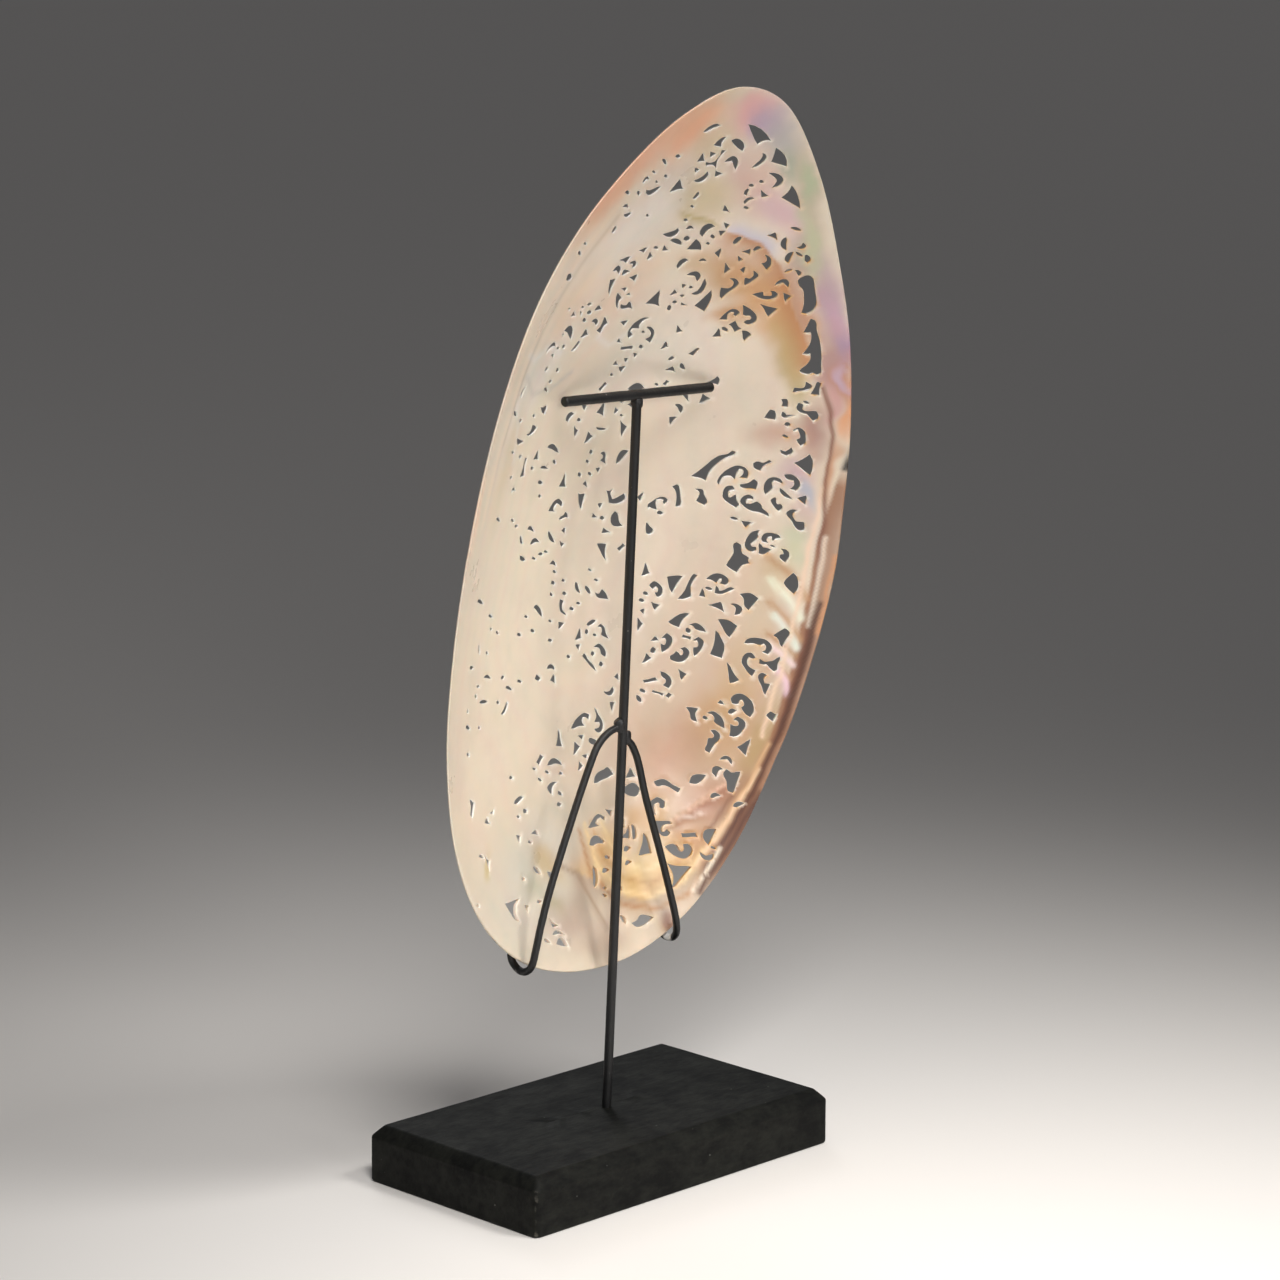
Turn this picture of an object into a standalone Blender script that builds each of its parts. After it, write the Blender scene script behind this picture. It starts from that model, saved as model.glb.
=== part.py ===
"""Carved pearl shell on a wire stand: one pierced mussel valve held on a wooden block.

Units are metres, +Z is up, and the origin is the middle of the block's underside.
The valve's hollow, pearly side faces -Y and its rounded outer side faces +Y.
"""
import math
import bmesh
import bpy
import numpy as np
from mathutils import Matrix, Vector
from mathutils.geometry import delaunay_2d_cdt

MM = 0.001

# The block
BASE_LENGTH = 128 * MM
BASE_DEPTH = 74 * MM
BASE_HEIGHT = 18 * MM
TOP_CHAMFER = 3.4 * MM
CORNER_ROUND = 2.0 * MM

# The wires
WIRE_RADIUS = 1.45 * MM
BAR_RADIUS = 1.55 * MM
HOOK_RADIUS = 1.15 * MM
GAP = 0.3 * MM
SOCKET_DEPTH = 12 * MM
POST_FOOT = Vector((0.33, -1.41, 18.0)) * MM
POST_TOP = Vector((-0.76, -13.95, 240.15)) * MM
BAR_LEFT = Vector((-30.79, -13.30, 242.19)) * MM
BAR_RIGHT = Vector((30.87, -14.60, 241.41)) * MM

# Centre lines of the two hooks, in millimetres
LEFT_HOOK = [
    (-2.4, -8.2, 140.1), (-6.3, -8.1, 138.9), (-10.1, -8.2, 136.4), (-13.2, -8.2, 132.0),
    (-19.8, -7.8, 117.8), (-28.6, -6.9, 96.2), (-32.6, -6.4, 84.0), (-34.2, -5.8, 76.5),
    (-34.6, -4.4, 71.0), (-34.4, -1.6, 68.4), (-34.3, 1.6, 68.2), (-34.6, 4.2, 70.4),
    (-34.9, 4.8, 73.2)]
RIGHT_HOOK = [
    (2.75, -7.95, 134.8), (4.2, -8.1, 133.0), (6.6, -8.2, 127.6), (10.2, -8.0, 115.9),
    (17.1, -7.3, 98.2), (22.3, -6.6, 84.5), (25.6, -6.0, 75.4), (27.4, -4.9, 70.0),
    (28.4, -2.4, 67.3), (28.8, 0.8, 66.7), (29.0, 3.6, 67.8), (29.0, 4.8, 70.4)]

# The valve. Its rim is drawn on a plane that leans back by LEAN: s runs along X, t up the
# plane, both in millimetres, and the hollow's depth runs square to the plane.
LEAN = math.radians(12.0)
VALVE_FOOT = Vector((0.0, 1.0, 60.0)) * MM
BOWL_CENTRE = (6.0, 130.0)
BOWL_DEPTH = 37.0
SWELL_DEPTH = 4.0
THIN = 1.35
HINGE_EXTRA = 0.75
FOOT_EXTRA = 1.2
RIM = [
    (-3, 280), (18, 274), (37, 253), (53, 225), (65, 198), (72.5, 171), (76, 145), (77.5, 119),
    (73, 87), (65, 59.5), (52, 33), (36, 14.5), (14, 4), (-12, 3.5), (-36, 12), (-56, 29.5),
    (-71, 55), (-80, 86), (-83.5, 119), (-83.5, 152), (-80, 187), (-72, 218), (-59.5, 241),
    (-43, 259), (-24, 273)]
RIM_STEPS = 6
GRID_STEP = 10.5
GRID_MARGIN = 3.4

# The larger piercings of the carving, in the same plane coordinates.
# darts: three corners, and where the sides are clearly bowed, how far each swells out
# crescents: first tip, middle, last tip and width
# slots: two ends and width, narrowest halfway
# scrolls: the corners in turn, x then y
DARTS = [
    (7.3, 267.8, 13.8, 261.3, 17.7, 262.6, 0, -0.7, 1),
    (20.8, 260.2, 21.4, 255.6, 26.4, 254.5, -0.2, 0, 1),
    (-2.6, 261.3, 0.5, 264.2, 0.3, 260.9, 0.4, -0.7, 0.1),
    (-11.1, 250.8, -13.6, 246.7, -7.9, 247.5, 0, -0.4, -0.1),
    (30.8, 248.5, 29.5, 244.2, 35.8, 241.3, -0.6, 0, 0.4),
    (8.4, 229.6, 6.6, 226.2, 11.6, 226.1, 0, 0, 0.5),
    (-25.6, 219.6, -23.3, 219.8, -23.3, 214.4, -0.2, -0.5, 0.1),
    (2.7, 212.9, -1.4, 208.5, 4.6, 207.4, -0.2, -0.3, -0.6),
    (21.3, 212.4, 18, 207, 21.4, 205.4, -0.2, 0, 0.5),
    (36.9, 208.8, 41.7, 207.9, 40.2, 204.9, -0.2, 0.1, -0.3),
    (64.3, 160.5, 61.1, 157, 65.3, 153.7, -0.3, -0.1, 0.4), (-4.6, 176.3, -7, 172.9, -3.6, 171.6),
    (-8.6, 167.1, -6, 165.2, -9.1, 163), (5.4, 168.9, 8.4, 166.8, 7.3, 163.4),
    (-15.3, 154.9, -17, 150.4, -13.9, 149.9, -0.4, 0, -0.5),
    (-56, 175.4, -49.6, 172.7, -53.8, 172.7, -0.1, 0.1, 0.4), (-36, 166.5, -38.1, 163.8, -34.7, 163),
    (33.6, 116.3, 37.7, 117, 35.1, 111.4, 0.1, -0.2, 0.1), (46, 108, 49.3, 109.4, 50.1, 106.4),
    (7.1, 128.1, 10.5, 127.7, 11.5, 122.2, 0.1, -0.5, 0), (58.3, 66.9, 55, 64, 56.7, 61.9),
]
CRESCENTS = [
    (3.8, 262.6, 7.2, 261.5, 9.6, 259.2, 2.1), (-4, 249.6, -0.6, 250.3, 0.2, 252.6, 1.3),
    (10.4, 252.9, 8.2, 256.4, 5.3, 255.3, 1.5), (-26.9, 249, -24, 248, -20.3, 249.8, 1.4),
    (22.1, 252, 26.4, 250.2, 25.4, 247, 1.5), (-7.1, 232.3, -2.6, 232.1, -1.3, 233.9, 1.7),
    (9.9, 230.5, 9.9, 233.2, 12.8, 234, 2.2), (2.8, 228.2, 0.8, 229.3, -2.5, 229.9, 1.4),
    (-26.2, 222.6, -23.8, 223.2, -22.5, 221.2, 1.6), (10.7, 217.5, 14.2, 217.7, 15, 215.4, 1.5),
    (17.7, 216.3, 17.7, 212.2, 15.2, 211.1, 1.2), (8.5, 222.7, 6.3, 222, 5.7, 219.9, 1.5),
    (38.7, 215, 40.5, 217, 42.3, 215, 1.4), (-42.6, 206.1, -38.8, 205.6, -36.2, 202, 2.3),
    (-51, 200.2, -48, 202.6, -45, 201.6, 1.4), (-29.8, 165.7, -26.2, 165.1, -22.4, 162.5, 1.5),
    (-28.3, 134.3, -26.3, 135.2, -23.2, 134.1, 1.2), (-14.3, 132, -16.6, 134.1, -18.2, 136.3, 1.2),
    (-20.9, 112.7, -18.7, 112, -16.4, 108.9, 1.4), (-66.5, 128.5, -63.8, 127.4, -60.2, 125.4, 1.1),
    (-12.7, 62.9, -9.3, 63.6, -5.9, 61.7, 1.4), (-54.3, 93.2, -51.4, 92.4, -48, 91.3, 1),
    (2.8, 31.2, 2.8, 28, 1.8, 24.9, 1.3),
]
SLOTS = [
    (31.3, 201.9, 33.6, 199.6, 2),
]
SCROLLS = [
    (1.8, 259.4, 3.6, 259.2, 2.6, 257.3, 2.3, 255.8, 3.3, 253.2, 1.6, 254.4, -0.2, 254.6, -1.6, 254.4,
     -2.4, 255.6, 0.9, 255.5, 1.8, 256.8, 2.2, 257.9),
    (-18.1, 214.4, -15.3, 212.4, -16.1, 211.3, -15.1, 208.7, -16.9, 210.8, -18, 212.9),
    (-13.6, 209.9, -12.8, 209.5, -11.4, 209.1, -10.4, 209.2, -10, 210.1, -9.4, 210, -8.3, 208.8,
     -7.4, 207.6, -9.3, 208.2, -11.6, 208.2, -13.2, 208.5),
    (-20.2, 206.8, -17.7, 204.4, -19.2, 203.6, -19.8, 201.4, -21.8, 202.3, -20.4, 203.6),
    (2.9, 203.4, 0.2, 203.6, -2.2, 202.6, -4.1, 200.8, -4.4, 199.2, -3.9, 198, -3, 197.2, -1.7, 198.2,
     -2.7, 198.9, -3.5, 199.4, -3.2, 200.3, 0.3, 200, -0.3, 201.2, 0.8, 202.6),
    (3.2, 200.3, 4.9, 200.2, 6.4, 199.1, 7, 197.3, 6.7, 195, 4.7, 196.1, 6.3, 196.8, 6.2, 197.9,
     5.2, 199),
    (32.2, 225.2, 33.4, 224.8, 34.4, 223.2, 34.8, 221.7, 34.3, 220.4, 33.6, 221.3, 32.4, 222.2,
     33.4, 222.5, 33.6, 223.4, 33.2, 224.3),
    (31.2, 219.6, 32.4, 218.8, 32.7, 217.8, 31.9, 216.5, 30.3, 214.5, 29.7, 217.1, 31.2, 216.9,
     31.8, 217.9),
    (25.3, 216.4, 26.4, 216.7, 27.7, 216, 28.1, 214.8, 27.3, 213.2, 26, 211.8, 25, 209.8, 24.3, 211.4,
     23.9, 213.4, 25.3, 213.2, 26.8, 213.5, 27.2, 214.8, 26.9, 215.6),
    (33.6, 211.8, 36.2, 212.9, 36.7, 211.7, 38, 211.6, 39.2, 211.8, 39, 212.6, 38.2, 213.3, 39.4, 213.3,
     40.3, 212.4, 39.9, 211.1, 38.6, 210.5, 36.4, 210.6),
    (44.3, 217.8, 46, 219.5, 46.9, 219.5, 47.9, 218.3, 49.6, 214.6, 51.2, 211.2, 51.4, 208.8, 50.2, 207,
     48.9, 206.9, 48.7, 209.6, 47.9, 212.2, 46.8, 214.6, 45.3, 215.8),
    (32.4, 208, 34.7, 206.9, 36.5, 205.4, 37.3, 203.7, 36.9, 202.4, 35.5, 201.7, 34.5, 202.5,
     35.2, 203.1, 36, 203.3, 36.1, 204.1, 35.2, 204.6, 33.7, 204.6, 33, 206.5),
    (27.3, 202.6, 28.4, 205, 29.6, 206.3, 30.9, 206.4, 32.2, 205.4, 31.6, 204.1, 30.8, 204.5,
     30.9, 205.2, 29.9, 205.3, 29.1, 204.4, 29.5, 202.7),
    (52.1, 205.3, 53, 205, 54.4, 201.8, 56.2, 198.6, 58, 194.2, 59.2, 190, 59.8, 187.7, 59.1, 187,
     57.9, 187.4, 57, 186.9, 55.4, 187.1, 54.7, 187.8, 56, 190.2, 56.3, 192, 55.8, 193.6, 53.8, 193.3,
     54.5, 195.9, 54.5, 198.4, 53.6, 200.7, 51.7, 200.4),
    (-56, 226.8, -54.4, 226.9, -51.6, 225.1, -52.4, 224.4, -54.3, 224.6, -55.8, 225.3),
    (57.3, 184.3, 58.6, 183.5, 58.5, 182.1, 57, 181.2, 55.9, 180.8, 55, 180.2, 55.1, 182, 56.2, 181.9,
     57.3, 182.2, 57.6, 183),
    (57.5, 177.1, 58.2, 176.8, 58.5, 175.3, 60, 174.6, 62.3, 175, 62.9, 172.6, 62.2, 171.6, 60.6, 173.4,
     58.6, 173.9, 57.4, 175.3), (50.9, 173.8, 51.8, 173.7, 52.6, 170.8, 50.1, 170.8),
    (58.3, 167.8, 59.5, 168.9, 61, 168.1, 62, 165.7, 62.3, 163.8, 61.4, 162.7, 60, 164.8, 60.8, 165.4,
     60.3, 166.9, 59.5, 168.1, 58.7, 167.5),
    (44.5, 159.1, 45, 158.9, 44.6, 157.8, 42.9, 156.6, 41.4, 155.2, 40, 153.2, 39.2, 151.4, 38.9, 148.7,
     37.6, 149.3, 34.9, 149.7, 36.7, 151.6, 38.3, 153.7, 39.6, 155.6, 41.4, 157.2, 43.4, 157.9),
    (51, 155.5, 52, 156.3, 53.4, 155.9, 54.8, 157.1, 55.2, 156.6, 53.3, 154.9, 52.8, 153.4,
     51.8, 153.7),
    (42.9, 147.6, 43.2, 149.6, 44, 150.5, 46, 150.6, 46.9, 149.8, 46.8, 151.5, 47.5, 153.2, 48.7, 153,
     49.1, 151.9, 48.4, 150.4, 50, 150.5, 50, 152.1, 49, 153.8, 47, 154.3, 44.9, 153.1, 43.4, 151.2,
     42.6, 149),
    (59.5, 152.8, 61.2, 153.2, 62.6, 152.1, 63.5, 150, 62.9, 148.1, 61.7, 148.3, 62.5, 149.4,
     62.2, 151.1, 60.4, 151.4),
    (55.8, 145.7, 55.2, 148.6, 55.8, 150.9, 57, 151.6, 58.6, 151.3, 59.3, 149.9, 58.1, 150.3,
     57.1, 150.6, 56.6, 149.7, 57.1, 148.2),
    (48.9, 148.1, 51, 148.9, 52.2, 150.3, 52.8, 149.6, 52.8, 147.1, 51.6, 147.2, 49.4, 147.2),
    (46.9, 147.5, 45.4, 147.1, 44.9, 145, 45.3, 143.2, 47, 141.7, 49, 140.5, 49.5, 141.6, 48.6, 143,
     48.3, 144.7, 47.2, 143.5, 46.2, 144.1, 46, 145.6, 47.5, 146.4),
    (51.7, 145, 50.4, 144.1, 50.1, 142.4, 51.1, 141.2, 53.2, 139.8, 55.4, 139.5, 58, 138.6, 57.6, 139.7,
     55.9, 141.1, 55.3, 142.3, 54.4, 143, 52.9, 142.1, 51.5, 142.1, 51.3, 143.1, 52, 143.7, 53.1, 143.6,
     52.7, 144.7),
    (58.7, 145.1, 57.8, 144.1, 58.3, 142.8, 59.4, 141.4, 60, 140.7, 60.7, 141.8, 60.4, 143.1,
     59.5, 142.8, 58.8, 143.7),
    (64.5, 141.8, 63.3, 141.6, 62.4, 140.5, 62.8, 139.3, 64.1, 137.9, 64.9, 136.6, 66.1, 135.1,
     67, 135.4, 66.8, 138.1, 65.4, 137.9, 64, 139, 63.4, 140.2, 63.8, 141),
    (30.1, 146, 31.4, 146.8, 31.9, 145.6, 32.8, 142.8, 33.3, 140.2, 32.4, 139.4, 32.2, 142.2,
     31.4, 144.6),
    (36.9, 145.6, 38.8, 145.7, 39.3, 144.2, 40.7, 141.7, 40.1, 140.6, 38.1, 141.6, 38.5, 143.2,
     38.5, 144.5),
    (23.6, 139.9, 24.8, 141, 26.2, 142.1, 27.6, 142.5, 29.1, 142.1, 29.6, 141.2, 28.8, 140, 28.3, 140.8,
     28.3, 141.5, 27.3, 141.7, 26.1, 141.5, 26, 140.3, 26.9, 138.2, 25.2, 138.6, 24.3, 139.1,
     23.8, 138.6),
    (56.5, 133.7, 55, 132.9, 54.1, 131.1, 53.8, 129.4, 54.1, 127.5, 55.4, 126.4, 56.6, 126.9,
     56.6, 128.1, 55.6, 128.1, 55, 128.8, 55.5, 129.5, 56.1, 130.4, 56.5, 131.7, 56.2, 132.6),
    (57.4, 129.4, 58.2, 128.4, 60.2, 128, 58.8, 126.2, 57.8, 125.9, 57.6, 127.4, 57.4, 128.4),
    (59.5, 129.9, 58.2, 129.9, 57.7, 131.2, 58.3, 132.8, 60.1, 133.2, 61.7, 132.7, 62.3, 131.8,
     61, 131.1, 60.6, 130.5, 60.2, 131.9, 59.2, 131.5, 58.9, 130.7),
    (50.8, 128.3, 51.5, 129, 52.2, 128.5, 52.9, 125.9, 54.9, 124.5, 54.8, 123.6, 55.3, 122.7,
     53.4, 121.6, 52.3, 119.4, 49.8, 121.2, 50.6, 123.4, 51.3, 125.5),
    (28.2, 113.6, 29.6, 114.8, 30.8, 114.3, 32.2, 112.6, 32, 110.4, 31, 109.8, 30.3, 111.2, 31.1, 111.2,
     31.2, 112.4, 30.2, 113.3, 29.2, 112.4),
    (41.8, 117.5, 40.3, 114.2, 40.5, 112, 40.6, 110.4, 37.4, 109.2, 39.2, 112, 40, 114.8, 41.2, 117.6),
    (44.8, 116.3, 46.3, 117.9, 48, 118.4, 49.7, 117.8, 50.6, 116.4, 49.9, 115, 48.6, 115.2, 49.1, 116.1,
     49, 116.7, 48.1, 116.8, 47.4, 115.4, 46.2, 116.1),
    (67.1, 121, 65, 117.4, 67.3, 114.5, 68.1, 116.4, 67.8, 119.4),
    (54.3, 112.4, 56.9, 113, 58.6, 111.8, 56.4, 107.7, 55.7, 109, 55.4, 110.9),
    (40.8, 105.1, 38.4, 104.4, 35.3, 101.8, 36.6, 100.9, 38.1, 100.4, 38.8, 102.6),
    (49.1, 103.7, 51.5, 103.8, 53.8, 102.3, 52, 98.4, 51, 100.2),
    (41.4, 101.3, 43.4, 101.9, 44.6, 101.2, 45.7, 99.5, 43.3, 99.9, 42.5, 100.9),
    (66.1, 103.1, 63.7, 100.2, 65, 99.2, 65.6, 97, 66.2, 99.5, 66.8, 102.2),
    (33.7, 96.5, 35.2, 98.2, 36.5, 97.1, 36.7, 95.2, 35.9, 93.5, 34.1, 91.9, 33.6, 94.7, 34.9, 94.3,
     35.2, 95.5, 34.8, 96.5),
    (42.8, 96.2, 44.3, 97.5, 45.5, 96.4, 45.2, 94.2, 44.5, 92.8, 43.3, 91.3, 43.1, 94, 44.2, 94.3,
     44.4, 95.4, 44, 96.3), (48.7, 100.1, 49.8, 98, 50.8, 95.6, 50.3, 91.6, 47.7, 92.3, 48.6, 95.6),
    (56.5, 96.7, 57, 98, 58.4, 98.8, 60.2, 98.9, 62, 98.5, 63, 97.2, 63, 95.4, 62.4, 94.1, 61.1, 94.6,
     61.9, 95.2, 62, 96.6, 61.3, 97.3, 60.2, 96.7, 58.6, 97.1),
    (59.3, 92.5, 58.4, 94, 57.2, 93.7, 56.3, 92.4, 56.1, 90.6, 56.9, 89, 58.2, 87.1, 58.7, 86.7,
     59.4, 88.6, 58.4, 89.2, 57.4, 90.1, 57.2, 91.6, 57.7, 92.7, 58.6, 92.2),
    (60.6, 92.4, 60.6, 90.7, 62.3, 90.8, 63.8, 89, 64.5, 89.8, 64.7, 91.4, 65.4, 93.8, 64.2, 92.3,
     63, 91.8, 61.8, 91.6),
    (62.3, 87.6, 61.4, 88, 60.5, 87, 60.7, 85.4, 61.5, 83.6, 62.1, 81.2, 63.2, 84.8, 62, 84.8, 61.5, 86,
     61.7, 86.8), (52.2, 90.3, 53.6, 87.2, 55.1, 85.2, 53.1, 83.7, 52.8, 86.8),
    (36.7, 90.9, 37, 89.6, 39.5, 89.4, 41.1, 90.8, 41.5, 92.7, 40.8, 94, 39.5, 93.5, 40.3, 92.6,
     40.2, 91.5, 39.6, 91.3, 38.3, 92.6, 37.8, 91.7),
    (34.2, 85.8, 35.6, 85.4, 36.8, 83.9, 37, 82.2, 36.3, 80.8, 35.1, 81.5, 35.9, 82.3, 35.8, 83.4,
     34.8, 84.1), (41.8, 75, 44.5, 75.1, 43.7, 73.4, 44.2, 70.9, 43.2, 71.2, 42.8, 73.2),
    (53.9, 77.4, 53.6, 79, 54.8, 80.4, 56.4, 80.7, 57.9, 79.7, 58.9, 78, 59.1, 75.6, 58.2, 73.8,
     57.2, 74.7, 56.3, 76.4, 57, 77.2, 56.6, 78.7, 55.6, 78.9, 55, 77.6),
    (47.3, 73.7, 49, 74.4, 50.4, 73.3, 51.2, 71.4, 51.3, 69.6, 49.2, 71.2, 49.3, 72.3, 48.7, 73.3),
    (54.2, 72.4, 55.4, 73.5, 56.5, 72.6, 56.8, 71, 56, 69.4, 54.6, 67.7, 53.1, 67.2, 53.4, 69.2,
     53.4, 70.9, 54.6, 70.4, 55.5, 70.7, 55.5, 71.8, 54.8, 72.3),
    (48.2, 68.4, 49.3, 68.7, 50.1, 67.4, 49.7, 65.8, 48.5, 64.4, 47.1, 61.7, 46.5, 62.2, 47.2, 64.2,
     47.6, 65.9, 48.7, 66.1, 49.1, 66.8, 48.8, 67.6),
    (50.9, 55.4, 51.9, 56.9, 53.2, 56, 55.1, 56.7, 53.9, 53.4, 52.7, 50.1, 51.8, 50.3, 51.6, 53.2),
    (41.4, 52, 42.6, 54.2, 45.7, 54.9, 44.9, 53.6, 43, 52.1),
    (31, 52, 32.8, 52.6, 34.6, 52.7, 36.4, 51.4, 38.3, 50.4, 37.4, 49.2, 35.2, 50.6, 33, 51.2,
     31.6, 50.8),
    (12.2, 138.2, 11.1, 136.6, 11.7, 134.2, 12.9, 133.3, 15.7, 133.4, 14.1, 134.9, 13.5, 136.4,
     12.9, 137.7),
    (-4.1, 107.1, -6.2, 108.4, -7, 110.2, -6.9, 112.4, -5.7, 111.9, -6.2, 110.6, -5.9, 109.2,
     -4, 107.4), (8.9, 112.3, 10.6, 111.5, 11.7, 113, 13, 111.6, 14.1, 109.7, 12.2, 110, 10.2, 110.5),
    (11.3, 101.1, 12.5, 101.8, 13.5, 100.8, 14.2, 99, 15.5, 97, 13, 98.3, 13.2, 99.9, 12.6, 100.8),
    (10.1, 94.8, 12.3, 95.6, 13.9, 94.2, 14.8, 92.4, 14.6, 91.3, 13.3, 92.3, 12.8, 93.7, 11.8, 94.5),
    (5.3, 92.6, 6, 93.5, 7.4, 91.5, 9.8, 89.4, 11.1, 87.3, 9.2, 88.9, 7, 91),
    (0, 71.2, 1.9, 73.1, 4.2, 74.3, 6.6, 74.8, 8.2, 74.3, 7.9, 72.9, 7, 73.5, 5.3, 73.9, 4.9, 72.9,
     5.9, 71.2, 2.9, 71.5),
    (11, 75.9, 12.3, 73.7, 13.5, 72.1, 14.1, 70, 13, 68.3, 11.7, 68.3, 10.9, 69.3, 12.4, 69.3, 13.3, 70,
     13.1, 71.1, 11, 71.4, 11.9, 72.8), (-6.5, 72.6, -6, 69.2, -5.4, 67.2, -7.8, 67.7, -6.9, 69.6),
    (-13.6, 56.6, -12.4, 57.4, -9.3, 57.6, -11.6, 56.7, -12.3, 54.5, -13.1, 55.4),
    (8.6, 53.6, 9.1, 55.2, 11, 56.4, 13.4, 56.9, 15.1, 57.5, 16.5, 55.4, 14.4, 54.7, 11.4, 54.3),
    (19.3, 50.5, 21.6, 51.4, 24.4, 51.9, 25.7, 50.4, 24.2, 48.5, 21.2, 48.7),
    (-60.4, 66.4, -57.3, 64.2, -57.9, 62.4, -58.8, 60.4, -59.8, 61.6, -59.3, 63.6),
    (28.1, 45.9, 29.6, 46.7, 31.6, 47.5, 33.2, 46.6, 32.7, 44.7, 31.6, 44.5, 31.7, 45.7, 30.9, 46.1,
     29.7, 45.5, 29.6, 42.7, 28.5, 42.8, 28.6, 44.4),
    (28.8, 40.8, 31.2, 40.7, 34.3, 40.6, 34.5, 39.7, 32.1, 39.6, 31.1, 38.4, 31.4, 37.5, 32.2, 37.6,
     33, 38.3, 33.8, 37.4, 32.8, 36.5, 31.2, 36.4, 30.1, 37.3, 29.3, 39),
    (43.5, 35.8, 44.1, 37.9, 45.4, 38.6, 47.3, 38.7, 46, 36.4, 44.6, 33.9),
    (31.2, 33.4, 33, 34, 34.8, 33.9, 35.4, 32.5, 36.4, 31.8, 37.2, 32.3, 37.1, 33.9, 38.9, 34,
     39.3, 32.6, 38.6, 31.1, 37.2, 30.1, 35.6, 30, 33.5, 30.9, 32.1, 32.2),
    (31, 28.6, 34, 27.7, 38.3, 27.6, 35.2, 24.8, 31.2, 21.1, 32.4, 24.2, 32.3, 26),
    (21.5, 31.5, 23.6, 34.8, 24.6, 37.7, 25.4, 36.2, 25.8, 32, 23.4, 31.9),
    (3.2, 41.7, 5.2, 43.3, 6.8, 44.4, 8.8, 44.8, 10.4, 44, 10, 42.9, 9, 43.8, 7.4, 43.8, 6.4, 42.9,
     7.7, 41.8, 5.4, 41.8),
    (2.6, 36.9, 3.6, 38.4, 5.4, 39.1, 7.2, 38.8, 8.7, 37.3, 8, 36.8, 5.6, 37.1, 3.9, 36.8),
    (15.3, 37.7, 17.6, 37.9, 19, 39.1, 19.8, 40.4, 20, 38.8, 19.3, 36.5, 17.4, 36.9, 15.3, 36.9),
    (14.7, 12.9, 17, 13.5, 18.4, 14.7, 21, 14.5, 22.9, 13.9, 21, 12.7, 18.4, 11.9, 16, 11.8),
    (-18.4, 12.8, -16.9, 14.2, -15.6, 14, -13.9, 11.3, -16, 11.8),
    (-41.5, 30.1, -39.2, 29.7, -33.7, 29.5, -35.7, 28.1, -36.3, 25.8, -34.9, 23.1, -37, 24.3,
     -39.4, 27.3), (11.5, 158.5, 9.5, 158.5, 8.4, 157.2, 8.2, 154.2, 9.8, 156),
    (-20.3, 143.2, -18.8, 145.2, -17, 146.1, -15.1, 145.9, -13.9, 144.7, -14, 143.6, -15.6, 144.6,
     -17, 145, -18, 144.3, -18.1, 143.4, -16.9, 142.4, -18.6, 142.8),
    (-5.9, 146.4, -5, 145.8, -3.1, 145.9, -3.2, 143.9, -3.4, 140.9, -4.1, 142, -5.1, 144),
    (7, 145.5, 8.3, 145.2, 9.3, 145.8, 8.8, 144.6, 9.5, 143.3, 10.2, 142.3, 12.4, 143, 14.3, 143.9,
     14.9, 142.2, 13.6, 141.1, 9.1, 141.3, 8.5, 142.8),
    (4.6, 179.4, 6.2, 180.7, 8.6, 181, 10.6, 179.6, 8.8, 178.6, 6.6, 178.5),
    (-42.4, 181.7, -40.3, 180.9, -38.7, 181.3, -38.1, 180.4, -38.4, 178.4, -40.2, 179.4),
    (-48.3, 174.5, -46.3, 174.3, -45.3, 175.3, -45.3, 176.4, -43.4, 176, -41.5, 174.9, -42.5, 173.9,
     -44.6, 173.5, -46.8, 173.6),
    (-44.9, 165.8, -43.5, 165.9, -43.7, 163.5, -42.7, 160, -45.8, 160.2, -44.9, 162.3),
    (24.2, 134.1, 25.2, 133, 26.4, 131.9, 26.1, 130.6, 25, 130.3, 24.5, 131.6),
]


def clear_scene():
    for item in list(bpy.data.objects):
        bpy.data.objects.remove(item, do_unlink=True)
    for mesh in list(bpy.data.meshes):
        bpy.data.meshes.remove(mesh)
    for group in list(bpy.data.collections):
        bpy.data.collections.remove(group)


def new_collection(name):
    group = bpy.data.collections.new(name)
    bpy.context.scene.collection.children.link(group)
    return group


def new_material(name, colour, roughness, metallic=0.0):
    material = bpy.data.materials.new(name)
    material.use_nodes = True
    shader = material.node_tree.nodes["Principled BSDF"]
    shader.inputs["Base Color"].default_value = (*colour, 1.0)
    shader.inputs["Roughness"].default_value = roughness
    shader.inputs["Metallic"].default_value = metallic
    return material


def closed_spline(points, steps):
    """Catmull-Rom curve through a closed ring of points."""
    ring = np.array(points, float)
    before, after = np.roll(ring, 1, axis=0), np.roll(ring, -1, axis=0)
    later = np.roll(ring, -2, axis=0)
    out = []
    for u in np.arange(steps) / steps:
        out.append(0.5 * (2 * ring + (after - before) * u
                          + (2 * before - 5 * ring + 4 * after - later) * u ** 2
                          + (3 * ring - before - 3 * after + later) * u ** 3))
    return np.stack(out, axis=1).reshape(-1, 2)


def open_spline(points, steps):
    """Catmull-Rom curve through an open row of points."""
    row = np.array(points, float)
    row = np.vstack([2 * row[0] - row[1], row, 2 * row[-1] - row[-2]])
    out = []
    for a, b, c, d in zip(row[:-3], row[1:-2], row[2:-1], row[3:]):
        for u in np.arange(steps) / steps:
            out.append(0.5 * (2 * b + (c - a) * u + (2 * a - 5 * b + 4 * c - d) * u ** 2
                              + (3 * b - a - 3 * c + d) * u ** 3))
    out.append(row[-2])
    return out


def signed_area(ring):
    x, y = ring[:, 0], ring[:, 1]
    return 0.5 * np.sum(x * np.roll(y, -1) - np.roll(x, -1) * y)


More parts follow.
